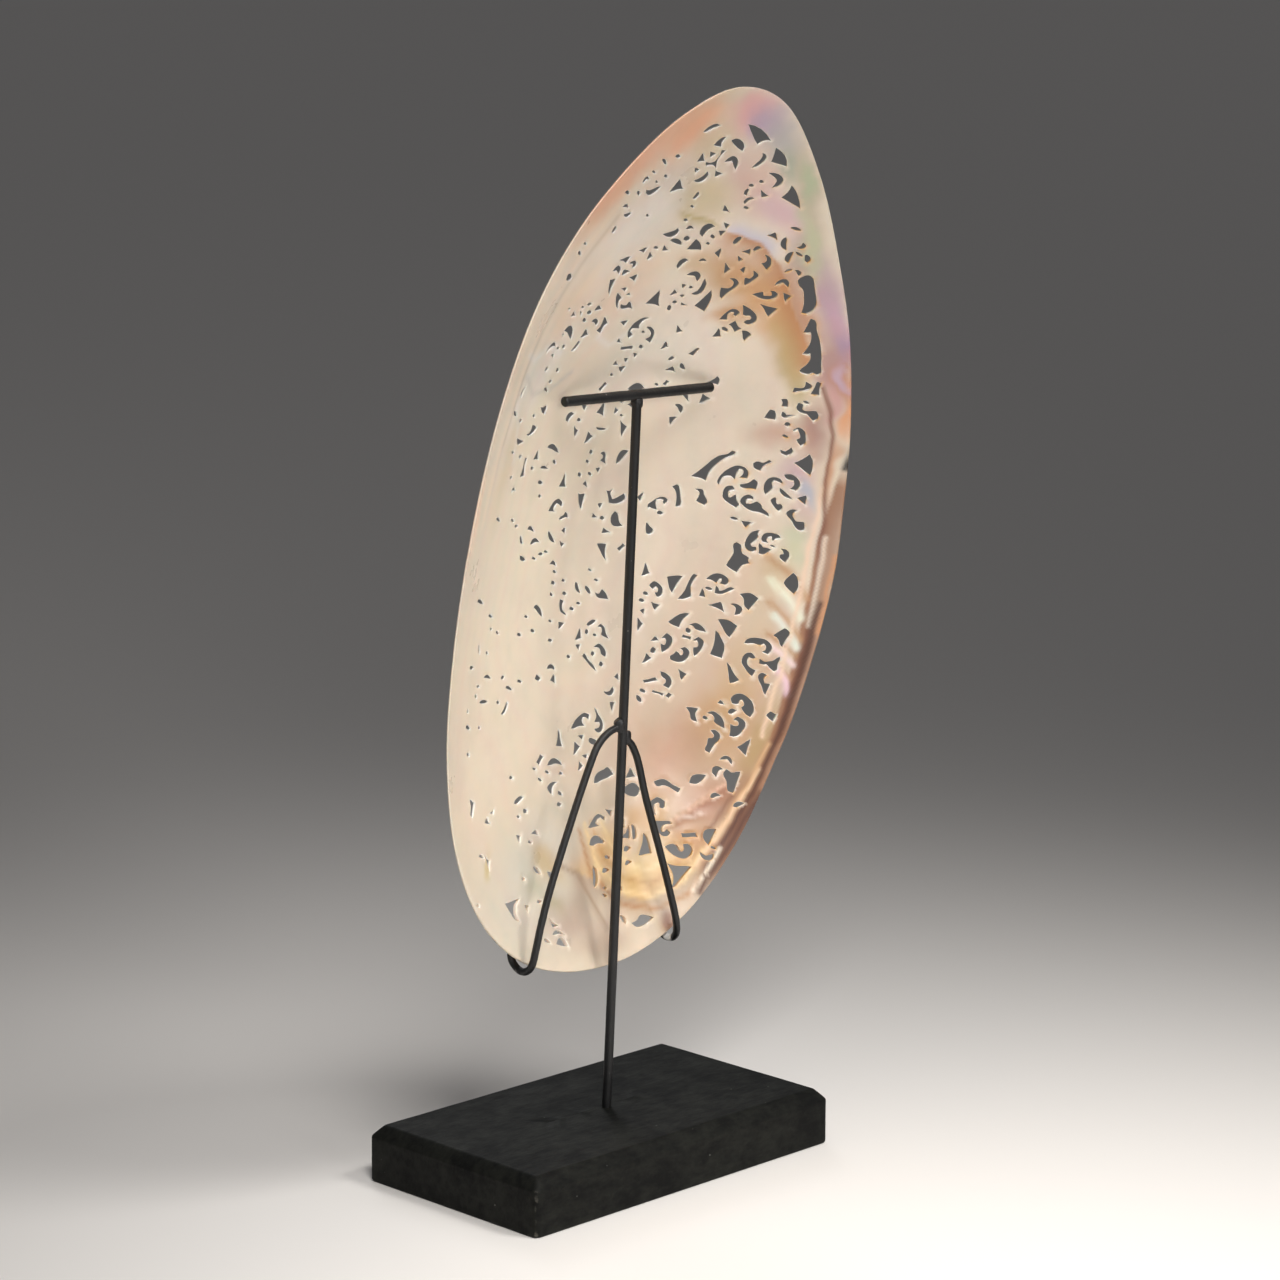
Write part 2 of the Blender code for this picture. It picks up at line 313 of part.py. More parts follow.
def dart(values):
    """A triangle whose sides are slightly bowed: one point on each side moves in or out."""
    corners = np.array(values[:6], float).reshape(3, 2)
    turn = np.sign(signed_area(corners))
    out = []
    for i in range(3):
        a, b = corners[i], corners[(i + 1) % 3]
        side = b - a
        length = np.hypot(*side)
        swell = values[6 + i] if len(values) > 6 else -0.04 * length
        out += [a, (a + b) / 2 + turn * np.array([side[1], -side[0]]) / length * swell]
    return np.array(out)


def crescent(values, inner=3):
    """A curved stroke: a quadratic curve from tip to tip, widened most in the middle."""
    a, m, b = (np.array(values[i:i + 2], float) for i in (0, 2, 4))
    c = 2 * m - (a + b) / 2
    u = np.linspace(0, 1, inner + 2)[:, None]
    line = (1 - u) ** 2 * a + 2 * u * (1 - u) * c + u ** 2 * b
    along = 2 * (1 - u) * (c - a) + 2 * u * (b - c)
    along /= np.linalg.norm(along, axis=1)[:, None]
    across = np.column_stack([-along[:, 1], along[:, 0]])
    half = values[6] / 2 * np.sin(np.pi * u) ** 0.6
    lower, upper = line - across * half, line + across * half
    return np.vstack([line[:1], lower[1:-1], line[-1:], upper[1:-1][::-1]])


def slot(values):
    a, b, width = np.array(values[:2]), np.array(values[2:4]), values[4]
    side = b - a
    n = np.array([-side[1], side[0]]) / np.hypot(*side) * width
    m = (a + b) / 2
    return np.array([a - n / 2, m - n * 0.32, b - n / 2, b + n / 2, m + n * 0.32, a + n / 2])


def scroll(values):
    return np.array(values, float).reshape(-1, 2)


RIM_LINE = closed_spline(RIM, 24)
RIM_ANGLE = np.arctan2(RIM_LINE[:, 1] - BOWL_CENTRE[1], RIM_LINE[:, 0] - BOWL_CENTRE[0])
RIM_REACH = np.hypot(RIM_LINE[:, 0] - BOWL_CENTRE[0], RIM_LINE[:, 1] - BOWL_CENTRE[1])
ORDER = np.argsort(RIM_ANGLE)


def bowl(points):
    """Depth of the hollow: a cosine from the bowl's centre to the rim, and a low swelling."""
    s, t = points[:, 0], points[:, 1]
    angle = np.arctan2(t - BOWL_CENTRE[1], s - BOWL_CENTRE[0])
    reach = np.interp(angle, RIM_ANGLE[ORDER], RIM_REACH[ORDER], period=2 * math.pi)
    rho = np.clip(np.hypot(s - BOWL_CENTRE[0], t - BOWL_CENTRE[1]) / reach, 0, 1)
    swell = np.exp(-(((s - 28) / 26) ** 2 + ((t - 62) / 32) ** 2))
    return BOWL_DEPTH * np.cos(math.pi / 2 * rho) + SWELL_DEPTH * swell * (1 - rho ** 4)


def wall(points):
    """The valve is thinnest at its free edge, thicker at the hinge side and at the foot."""
    s, t = points[:, 0], points[:, 1]
    hinge = HINGE_EXTRA * np.clip((s - 10) / 60, 0, 1)
    foot = FOOT_EXTRA * np.exp(-((t - 12) / 30) ** 2)
    return THIN + hinge + foot


def inside(points, ring):
    """Which points lie in a ring, by counting crossings of a level ray."""
    x, y = points[:, 0][:, None], points[:, 1][:, None]
    ax, ay = ring[:, 0][None], ring[:, 1][None]
    bx, by = np.roll(ring[:, 0], -1)[None], np.roll(ring[:, 1], -1)[None]
    straddles = (ay > y) != (by > y)
    rise = np.where(by == ay, 1.0, by - ay)
    crosses = straddles & (x < (bx - ax) * (y - ay) / rise + ax)
    return crosses.sum(axis=1) % 2 == 1


def sheet(name, outline, holes, group, material):
    """A pierced, dished sheet: one triangulated face, lifted to the bowl and thickened."""
    low, high = outline.min(axis=0), outline.max(axis=0)
    rows = np.arange(low[1], high[1], GRID_STEP * math.sqrt(3) / 2)
    grid = np.array([(x + (j % 2) * GRID_STEP / 2, y) for j, y in enumerate(rows)
                     for x in np.arange(low[0], high[0], GRID_STEP)])
    borders = np.vstack([outline] + holes)
    clear = np.array([np.hypot(*(borders - p).T).min() > GRID_MARGIN for p in grid])
    grid = grid[clear & inside(grid, outline)]
    for hole in holes:
        grid = grid[~inside(grid, hole)]
    points, faces = [], []
    for ring in [outline] + holes:
        ring = ring if signed_area(ring) > 0 else ring[::-1]
        faces.append(list(range(len(points), len(points) + len(ring))))
        points += [Vector(p) for p in ring]
    points += [Vector(p) for p in grid]
    found = delaunay_2d_cdt(points, [], faces, 1, 1e-5)
    flat = np.array([tuple(p) for p in found[0]])
    kept = [face for face, source in zip(found[2], found[5]) if list(source) == [0]]
    used = sorted({i for face in kept for i in face})
    number = {old: new for new, old in enumerate(used)}
    flat = flat[used]
    mesh = bpy.data.meshes.new(name)
    corners = np.column_stack([flat, -bowl(flat)]) * MM
    mesh.from_pydata(corners.tolist(), [], [[number[i] for i in face] for face in kept])
    mesh.update()
    piece = bpy.data.objects.new(name, mesh)
    group.objects.link(piece)
    mesh.materials.append(material)
    thickness = wall(flat)
    most = float(thickness.max())
    layer = piece.vertex_groups.new(name="wall")
    for index, value in enumerate(thickness):
        layer.add([index], float(value) / most, "REPLACE")
    solid = piece.modifiers.new("wall", "SOLIDIFY")
    solid.thickness = most * MM
    solid.offset = -1.0
    solid.vertex_group = "wall"
    mesh.shade_smooth()
    mesh.set_sharp_from_angle(angle=math.radians(35))
    return piece


def wire(name, points, radius, group, material):
    """A round bar along a row of points, as a bevelled curve with filled ends."""
    curve = bpy.data.curves.new(name, "CURVE")
    curve.dimensions = "3D"
    curve.bevel_depth = radius
    curve.bevel_resolution = 2
    curve.use_fill_caps = True
    spline = curve.splines.new("POLY")
    spline.points.add(len(points) - 1)
    for point, place in zip(spline.points, points):
        point.co = (*place, 1.0)
    curve.materials.append(material)
    piece = bpy.data.objects.new(name, curve)
    group.objects.link(piece)
    return piece


def build_block(group, cutters, material):
    mesh = bpy.data.meshes.new("base")
    shape = bmesh.new()
    bmesh.ops.create_cube(shape, size=1.0)
    bmesh.ops.scale(shape, vec=(BASE_LENGTH, BASE_DEPTH, BASE_HEIGHT), verts=shape.verts)
    bmesh.ops.translate(shape, vec=(0, 0, BASE_HEIGHT / 2), verts=shape.verts)
    top = [e for e in shape.edges if all(v.co.z > BASE_HEIGHT - 1e-6 for v in e.verts)]
    bmesh.ops.bevel(shape, geom=top, offset=TOP_CHAMFER, segments=1, affect="EDGES")
    upright = [e for e in shape.edges
               if abs(e.verts[0].co.z - e.verts[1].co.z) > 1e-6]
    bmesh.ops.bevel(shape, geom=upright, offset=CORNER_ROUND, segments=3, profile=0.5,
                    affect="EDGES")
    shape.to_mesh(mesh)
    shape.free()
    mesh.materials.append(material)
    block = bpy.data.objects.new("base", mesh)
    group.objects.link(block)

    along = (POST_TOP - POST_FOOT).normalized()
    drill = bpy.data.meshes.new("post_socket_cutter")
    shape = bmesh.new()
    bmesh.ops.create_cone(shape, cap_ends=True, segments=16, radius1=WIRE_RADIUS + GAP + 0.00005,
                          radius2=WIRE_RADIUS + GAP + 0.00005, depth=SOCKET_DEPTH * 2)
    shape.to_mesh(drill)
    shape.free()
    cutter = bpy.data.objects.new("post_socket_cutter", drill)
    cutter.location = POST_FOOT
    cutter.rotation_euler = along.to_track_quat("Z", "Y").to_euler()
    cutter.hide_render = True
    cutter.display_type = "WIRE"
    cutters.objects.link(cutter)
    cut = block.modifiers.new("post_socket", "BOOLEAN")
    cut.operation = "DIFFERENCE"
    cut.solver = "EXACT"
    cut.object = cutter
    return block


def build_wires(group, material):
    along = (POST_TOP - POST_FOOT).normalized()
    start = POST_FOOT - along * (SOCKET_DEPTH - GAP)
    rows = np.linspace(0, 1, 9)
    wire("post", [start.lerp(POST_TOP, u) for u in rows], WIRE_RADIUS, group, material)
    rows = np.linspace(0, 1, 5)
    wire("crossbar", [BAR_LEFT.lerp(BAR_RIGHT, u) for u in rows], BAR_RADIUS, group, material)
    for name, line in (("hook_left", LEFT_HOOK), ("hook_right", RIGHT_HOOK)):
        path = [Vector(p) * MM for p in open_spline(line, 2)]
        wire(name, path, HOOK_RADIUS, group, material)


def build_shell(group, material):
    holes = [dart(v) for v in DARTS] + [crescent(v) for v in CRESCENTS]
    holes += [slot(v) for v in SLOTS] + [scroll(v) for v in SCROLLS]
    shell = sheet("shell", closed_spline(RIM, RIM_STEPS), holes, group, material)
    shell.location = VALVE_FOOT
    shell.rotation_euler = (math.radians(90) + LEAN, 0.0, 0.0)
    return shell


def main():
    clear_scene()
    group = new_collection("carved_pearl_shell")
    cutters = new_collection("cutters")
    wood = new_material("black_painted_wood", (0.014, 0.015, 0.013), 0.62)
    iron = new_material("black_painted_wire", (0.012, 0.012, 0.013), 0.45)
    pearl = new_material("pearl_shell", (0.78, 0.66, 0.54), 0.28)
    build_block(group, cutters, wood)
    build_wires(group, iron)
    build_shell(group, pearl)


main()
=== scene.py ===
# Carved mussel valve on a welded wire stand with a black wooden foot.
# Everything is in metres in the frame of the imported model; shapes are worked out in mm.
import math
import bpy
import numpy as np
from mathutils import Matrix, Vector
from mathutils.geometry import delaunay_2d_cdt


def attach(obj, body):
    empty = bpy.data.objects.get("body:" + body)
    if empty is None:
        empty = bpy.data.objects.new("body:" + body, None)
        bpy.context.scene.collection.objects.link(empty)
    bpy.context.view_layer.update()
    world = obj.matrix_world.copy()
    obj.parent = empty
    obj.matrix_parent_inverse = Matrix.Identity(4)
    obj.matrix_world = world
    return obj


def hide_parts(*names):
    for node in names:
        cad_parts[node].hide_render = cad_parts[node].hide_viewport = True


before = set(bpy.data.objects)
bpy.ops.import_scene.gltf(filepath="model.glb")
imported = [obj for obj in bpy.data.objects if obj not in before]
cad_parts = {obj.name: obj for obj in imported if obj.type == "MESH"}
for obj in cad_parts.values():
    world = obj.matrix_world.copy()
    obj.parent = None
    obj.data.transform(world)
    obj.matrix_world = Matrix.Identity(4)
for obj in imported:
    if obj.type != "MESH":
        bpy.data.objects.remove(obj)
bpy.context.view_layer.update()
print("frame loaded")

mm = 0.001


def linear(rgb):
    # display colour 0..255 to linear light: ((c + 0.055) / 1.055) ^ 2.4
    c = np.asarray(rgb, float) / 255
    return np.where(c <= 0.04045, c / 12.92, ((c + 0.055) / 1.055) ** 2.4)


def normalised(rows):
    # each row divided by its own length
    return rows / np.maximum(np.linalg.norm(rows, axis=-1, keepdims=True), 1e-12)


def signedArea(ring):
    # half the sum of x_i * y_i+1 - x_i+1 * y_i
    x, y = ring[:, 0], ring[:, 1]
    return 0.5 * np.sum(x * np.roll(y, -1) - np.roll(x, -1) * y)


def wavyNoise(points, scale, seed, count=14):
    # smooth noise: mean of sines of random directions and phases, wavelengths near scale
    rng = np.random.default_rng(seed)
    ways = normalised(rng.normal(size=(count, points.shape[1])))
    waves = 2 * np.pi / (scale * rng.uniform(0.6, 1.6, count))
    return np.sin(points @ (ways * waves[:, None]).T + rng.uniform(0, 6.28, count)).mean(axis=1) * 2


def makeMesh(name, points, faces, material, sharp=35.0):
    # points in mm, one row each; faces as rows of three or four indices
    mesh = bpy.data.meshes.new(name)
    mesh.from_pydata((points * mm).tolist(), [], faces if isinstance(faces, list) else faces.tolist())
    mesh.update()
    mesh.shade_smooth()
    mesh.set_sharp_from_angle(angle=math.radians(sharp))
    mesh.materials.append(material)
    piece = bpy.data.objects.new(name, mesh)
    bpy.context.scene.collection.objects.link(piece)
    return piece


def tubeGrid(rows, turns):
    # quads between neighbouring rings of `turns` points; the two end rings are points
    i, j = np.meshgrid(np.arange(rows - 1), np.arange(turns), indexing="ij")
    k = (j + 1) % turns
    quads = np.stack([i * turns + j, i * turns + k, (i + 1) * turns + k, (i + 1) * turns + j], axis=-1)
    return quads.reshape(-1, 4)


def closeEnds(points, quads, turns):
    # a fan at each end of a tube, to the mean of its end ring
    first, last = points[:turns], points[-turns:]
    count = len(points)
    ring = np.arange(turns)
    nextRing = (ring + 1) % turns
    points = np.vstack([points, first.mean(axis=0), last.mean(axis=0)])
    head = np.column_stack([nextRing, ring, np.full(turns, count)])
    tail = np.column_stack([ring, nextRing, np.full(turns, 0)]) + count - turns
    tail[:, 2] = count + 1
    return points, quads.tolist() + head.tolist() + tail.tolist()


def smoothPath(points, steps):
    # open Catmull-Rom curve: 0.5 (2b + (c-a)u + (2a-5b+4c-d)u^2 + (3b-a-3c+d)u^3)
    row = np.asarray(points, float)
    row = np.vstack([2 * row[0] - row[1], row, 2 * row[-1] - row[-2]])
    a, b, c, d = (row[i:len(row) - 3 + i][:, None] for i in range(4))
    u = (np.arange(steps) / steps)[None, :, None]
    curve = 0.5 * (2 * b + (c - a) * u + (2 * a - 5 * b + 4 * c - d) * u ** 2
                   + (3 * b - a - 3 * c + d) * u ** 3)
    return np.vstack([curve.reshape(-1, 3), row[-2]])


def rod(name, path, radius, material, turns=20, dome=0.55, bump=0.03, seed=1, across=(0.0, 1.0, 0.0)):
    # round bar: centre(u) + r(u) (cos v * side + sin v * other), r falls as a quarter ellipse
    # over the last dome * radius at both ends, and swells a little by smooth noise
    step = np.r_[0, np.cumsum(np.linalg.norm(np.diff(path, axis=0), axis=1))]
    ends = dome * radius * (1 - np.cos(np.linspace(0, np.pi / 2, 6)))
    inner = np.linspace(ends[-1], step[-1] - ends[-1], len(path) * 2)
    along = np.r_[ends, inner[1:-1], step[-1] - ends[::-1]]
    centre = np.column_stack([np.interp(along, step, path[:, k]) for k in range(3)])
    way = normalised(np.gradient(centre, np.maximum(along, 0) + np.arange(len(along)) * 1e-9, axis=0))
    side = normalised(np.cross(np.asarray(across)[None], way))
    other = np.cross(way, side)
    fall = np.minimum(along, step[-1] - along) / max(dome * radius, 1e-6)
    size = radius * np.sqrt(np.clip(1 - (1 - np.clip(fall, 0, 1)) ** 2, 0.02, 1))
    v = np.arange(turns) / turns * 2 * np.pi
    ring = centre[:, None] + (side[:, None] * np.cos(v)[None, :, None]
                              + other[:, None] * np.sin(v)[None, :, None]) * size[:, None, None]
    points = ring.reshape(-1, 3)
    outward = normalised(points - np.repeat(centre, turns, axis=0))
    points = points + outward * (bump * wavyNoise(points, 3.0, seed))[:, None]
    points, faces = closeEnds(points, tubeGrid(len(along), turns), turns)
    return makeMesh(name, points, faces, material)


def blob(name, centre, radii, material, seed, axis=(0, 0, 1), rough=0.16, rings=18, turns=28):
    # weld bead: ellipsoid with poles on axis, each point moved in or out by smooth noise
    a = np.linspace(0, np.pi, rings + 2)[1:-1]
    v = np.arange(turns) / turns * 2 * np.pi
    pole = normalised(np.asarray(axis, float))
    side = normalised(np.cross(pole, (0.3, 1.0, 0.1)))
    other = np.cross(pole, side)
    unit = (np.sin(a)[:, None, None] * (np.cos(v)[None, :, None] * side + np.sin(v)[None, :, None] * other)
            - np.cos(a)[:, None, None] * pole)
    unit = unit.reshape(-1, 3)
    swell = 1 + rough * wavyNoise(unit * 3, 3.2, seed)
    local = np.column_stack([unit @ side * radii[0], unit @ other * radii[1], unit @ pole * radii[2]])
    points = centre + (local[:, :1] * side + local[:, 1:2] * other + local[:, 2:] * pole) * swell[:, None]
    points, faces = closeEnds(points, tubeGrid(rings, turns), turns)
    return makeMesh(name, points, faces, material, sharp=80)


# The rim and the cuts are drawn on the rim's plane: s along X, t up the plane, in mm.
rim = [
    (-3, 280), (18, 274), (37, 253), (53, 225), (65, 198), (72.5, 171), (76, 145), (77.5, 119),
    (73, 87), (65, 59.5), (52, 33), (36, 14.5), (14, 4), (-12, 3.5), (-36, 12), (-56, 29.5),
    (-71, 55), (-80, 86), (-83.5, 119), (-83.5, 152), (-80, 187), (-72, 218), (-59.5, 241),
    (-43, 259), (-24, 273)]

# darts: three corners, then how far each side swells where it is clearly bowed
# crescents: first tip, middle, last tip and width; slots: both ends and width
# dots: place, length, width and turn in degrees; scrolls: corners in turn, x then y
darts = [
    (7.3, 267.8, 13.8, 261.3, 17.7, 262.6, 0, -0.7, 1),
    (20.8, 260.2, 21.4, 255.6, 26.4, 254.5, -0.2, 0, 1),
    (-2.6, 261.3, 0.5, 264.2, 0.3, 260.9, 0.4, -0.7, 0.1), (-2.7, 259.2, -0.5, 258.6, -2, 257.4),
    (-6.6, 256.1, -5.9, 259, -3.6, 256.2), (-6.3, 254.1, -4.4, 253.6, -5.5, 252.6),
    (3.4, 252.6, 6.3, 251.7, 4.1, 250.6), (-11.1, 250.8, -13.6, 246.7, -7.9, 247.5, 0, -0.4, -0.1),
    (22.4, 246.4, 23.6, 243.9, 25.3, 244.6), (30.8, 248.5, 29.5, 244.2, 35.8, 241.3, -0.6, 0, 0.4),
    (13.2, 241, 13.4, 239, 15.9, 238.6), (15.6, 235.2, 17.4, 234.6, 16.9, 233.2),
    (15.3, 232.3, 17.1, 232.5, 16.4, 230.7), (-15.9, 227.8, -12.7, 228.8, -13.4, 227),
    (-4.1, 228.5, -4.1, 226.5, -1.6, 226.6), (-9.8, 226.9, -9.8, 224.1, -8.2, 225.3),
    (8.4, 229.6, 6.6, 226.2, 11.6, 226.1, 0, 0, 0.5), (-25, 226, -19.8, 226.8, -20.9, 224.7),
    (-25.6, 219.6, -23.3, 219.8, -23.3, 214.4, -0.2, -0.5, 0.1),
    (-15.2, 218.8, -11.8, 219.7, -12, 217.4), (-17, 215.4, -14.8, 215.7, -14.8, 214.4),
    (-13, 212.9, -11.8, 213.4, -11.2, 212.6), (2.7, 212.9, -1.4, 208.5, 4.6, 207.4, -0.2, -0.3, -0.6),
    (10.4, 214.4, 11.7, 214.3, 11.1, 213.1), (8.6, 212.6, 7.5, 210.7, 9.7, 211.6),
    (11.4, 210.6, 12.7, 210.9, 12.1, 210), (21.3, 212.4, 18, 207, 21.4, 205.4, -0.2, 0, 0.5),
    (13, 208.2, 15.3, 207.2, 13.3, 207.2), (18.6, 226.6, 17.2, 224.8, 18.8, 223.6),
    (21.9, 221.8, 22.8, 218.1, 23.9, 219.8), (-27.7, 209.9, -26.4, 211.4, -24.6, 210.1, 0.2, 0.2, -0.1),
    (-28.4, 204.1, -26.4, 202, -30, 201.3), (-10.7, 203.6, -7.5, 203.8, -8.4, 202.2),
    (-8, 197.8, -8.4, 196.6, -6.3, 196.1), (1.8, 191.7, 3.2, 191.5, 2.5, 190.3),
    (-5.3, 189.9, -6.3, 188.6, -3.7, 188.3), (-1.7, 190.3, -0.3, 190.3, -0.8, 189),
    (13, 195, 12.1, 192.3, 13.9, 193.4), (30.3, 231.6, 32.4, 232.7, 33.4, 230.5),
    (25.2, 225.6, 27.5, 226.8, 27.8, 224.9), (24.7, 224.3, 26.3, 223.3, 25.5, 222.4),
    (28.1, 220.8, 27.2, 219.6, 28.3, 218.8), (41.8, 213.2, 43.8, 212.5, 43, 210.4),
    (36.9, 208.8, 41.7, 207.9, 40.2, 204.9, -0.2, 0.1, -0.3), (28.2, 199.8, 27.3, 196.8, 29.3, 197.2),
    (35, 199.5, 37.6, 198.6, 36.3, 196.3, 0.4, 0, -0.1), (-40.8, 212.2, -41.8, 210.4, -38.8, 210.3),
    (-37, 211.6, -35.6, 210.9, -35.4, 209.5), (-46.3, 199, -44.5, 199.3, -43.9, 197.6),
    (30.4, 181.4, 33.2, 183.7, 33.7, 181, -0.4, 0.3, -0.1),
    (64.3, 160.5, 61.1, 157, 65.3, 153.7, -0.3, -0.1, 0.4), (63.9, 145.6, 65.9, 146.9, 65.9, 143.9),
    (22.9, 169.3, 24.9, 169.7, 23.5, 167), (24.3, 177.2, 25.9, 177.6, 26.9, 174.9),
    (30.7, 177.6, 30.5, 174.1, 33.1, 176.3), (-2.9, 187.4, -0.2, 187.7, -1.4, 185.7),
    (18.4, 186.5, 16.2, 185.2, 19.5, 184.8), (-15.6, 176.6, -13.9, 176.6, -14.4, 175),
    (-17.1, 170.4, -14.8, 168.5, -15.5, 166.4), (-4.6, 176.3, -7, 172.9, -3.6, 171.6),
    (1.6, 173.6, 2.8, 172.7, 1.8, 171.4), (6.6, 174, 7.8, 174.6, 9.4, 172.3),
    (-8.6, 167.1, -6, 165.2, -9.1, 163), (5.4, 168.9, 8.4, 166.8, 7.3, 163.4),
    (-15.3, 154.9, -17, 150.4, -13.9, 149.9, -0.4, 0, -0.5), (0, 153.6, 1.4, 153.8, 0.9, 152.3),
    (-3.7, 150.1, -4.7, 149.1, -2.7, 147.9), (19.3, 142.5, 20.9, 144.2, 20.3, 141.4),
    (-56, 175.4, -49.6, 172.7, -53.8, 172.7, -0.1, 0.1, 0.4), (-36, 166.5, -38.1, 163.8, -34.7, 163),
    (51.4, 136.3, 54.2, 136.2, 52.6, 134.3), (26, 120.9, 25.2, 116.6, 27.4, 117.6),
    (33.6, 116.3, 37.7, 117, 35.1, 111.4, 0.1, -0.2, 0.1), (44, 113.3, 43.4, 110.7, 44.7, 110.6),
    (26, 105.5, 27.1, 106.1, 26.9, 104.4), (29.3, 108.2, 31.8, 107.4, 30.4, 105.7),
    (46, 108, 49.3, 109.4, 50.1, 106.4), (25.4, 103.2, 27, 101.3, 25.6, 99),
    (31.7, 97.1, 30.4, 95.6, 32.4, 96), (4.2, 141.5, 5.7, 141.6, 5.2, 140.1),
    (3, 138.6, 2.9, 137.1, 4.8, 137.2), (8.8, 133.2, 8.3, 131.4, 11.5, 131.5),
    (7.1, 128.1, 10.5, 127.7, 11.5, 122.2, 0.1, -0.5, 0), (-9.7, 136, -10.9, 135, -9.6, 134.1),
    (-11.3, 132.2, -8.9, 130.6, -9.9, 129.6), (-14.4, 124.9, -13, 125.9, -11.8, 124, 0.2, 0.3, -0.2),
    (-6.9, 105.4, -4.8, 104.8, -6.9, 103.1), (3.3, 101.8, 1.4, 98.3, 3.8, 98.7),
    (1.8, 96.7, 3.4, 96.7, 2.8, 95.1), (29.4, 91.6, 30.8, 90.2, 28.3, 88.3),
    (39.3, 86.9, 41.2, 85.7, 39.9, 83.6), (50.8, 78.2, 50.1, 77.1, 51.4, 77),
    (58.3, 66.9, 55, 64, 56.7, 61.9), (-8.4, 89.6, -10, 87.8, -8.2, 86.8),
    (19, 84.4, 20.1, 85.6, 20.3, 83.4), (17.4, 76.6, 18.9, 76.6, 18, 74),
    (3.1, 68.6, 5.2, 68.5, 4.6, 67.2), (1.4, 67.2, 3.4, 65.5, 0.3, 63.2),
    (4.3, 62.4, 6.4, 62.6, 5.8, 61.4), (2.9, 61, 3.9, 59.6, 2, 58.4),
    (-6.8, 60.1, -7.5, 59.2, -6.1, 59), (21.4, 53.6, 23.7, 56.5, 24.7, 53.9),
    (-46.3, 57.6, -44, 58, -44.6, 56.8), (-23.9, 45.5, -21.6, 46.2, -21.1, 44.5),
    (11.5, 45.8, 13.7, 45.3, 13, 43.6), (-51.2, 46.8, -48.4, 44.6, -49.2, 41.6),
    (-18.4, 33.5, -15.2, 32.6, -17.2, 30.5), (-20.4, 20.8, -17, 18, -19.2, 17.8),
    (14.8, 200.4, 17, 198.6, 15.4, 197.9), (-31.8, 47.2, -30, 46.6, -30.8, 44.6),
    (-31.2, 27, -29.6, 26.4, -30.6, 24.4),
]
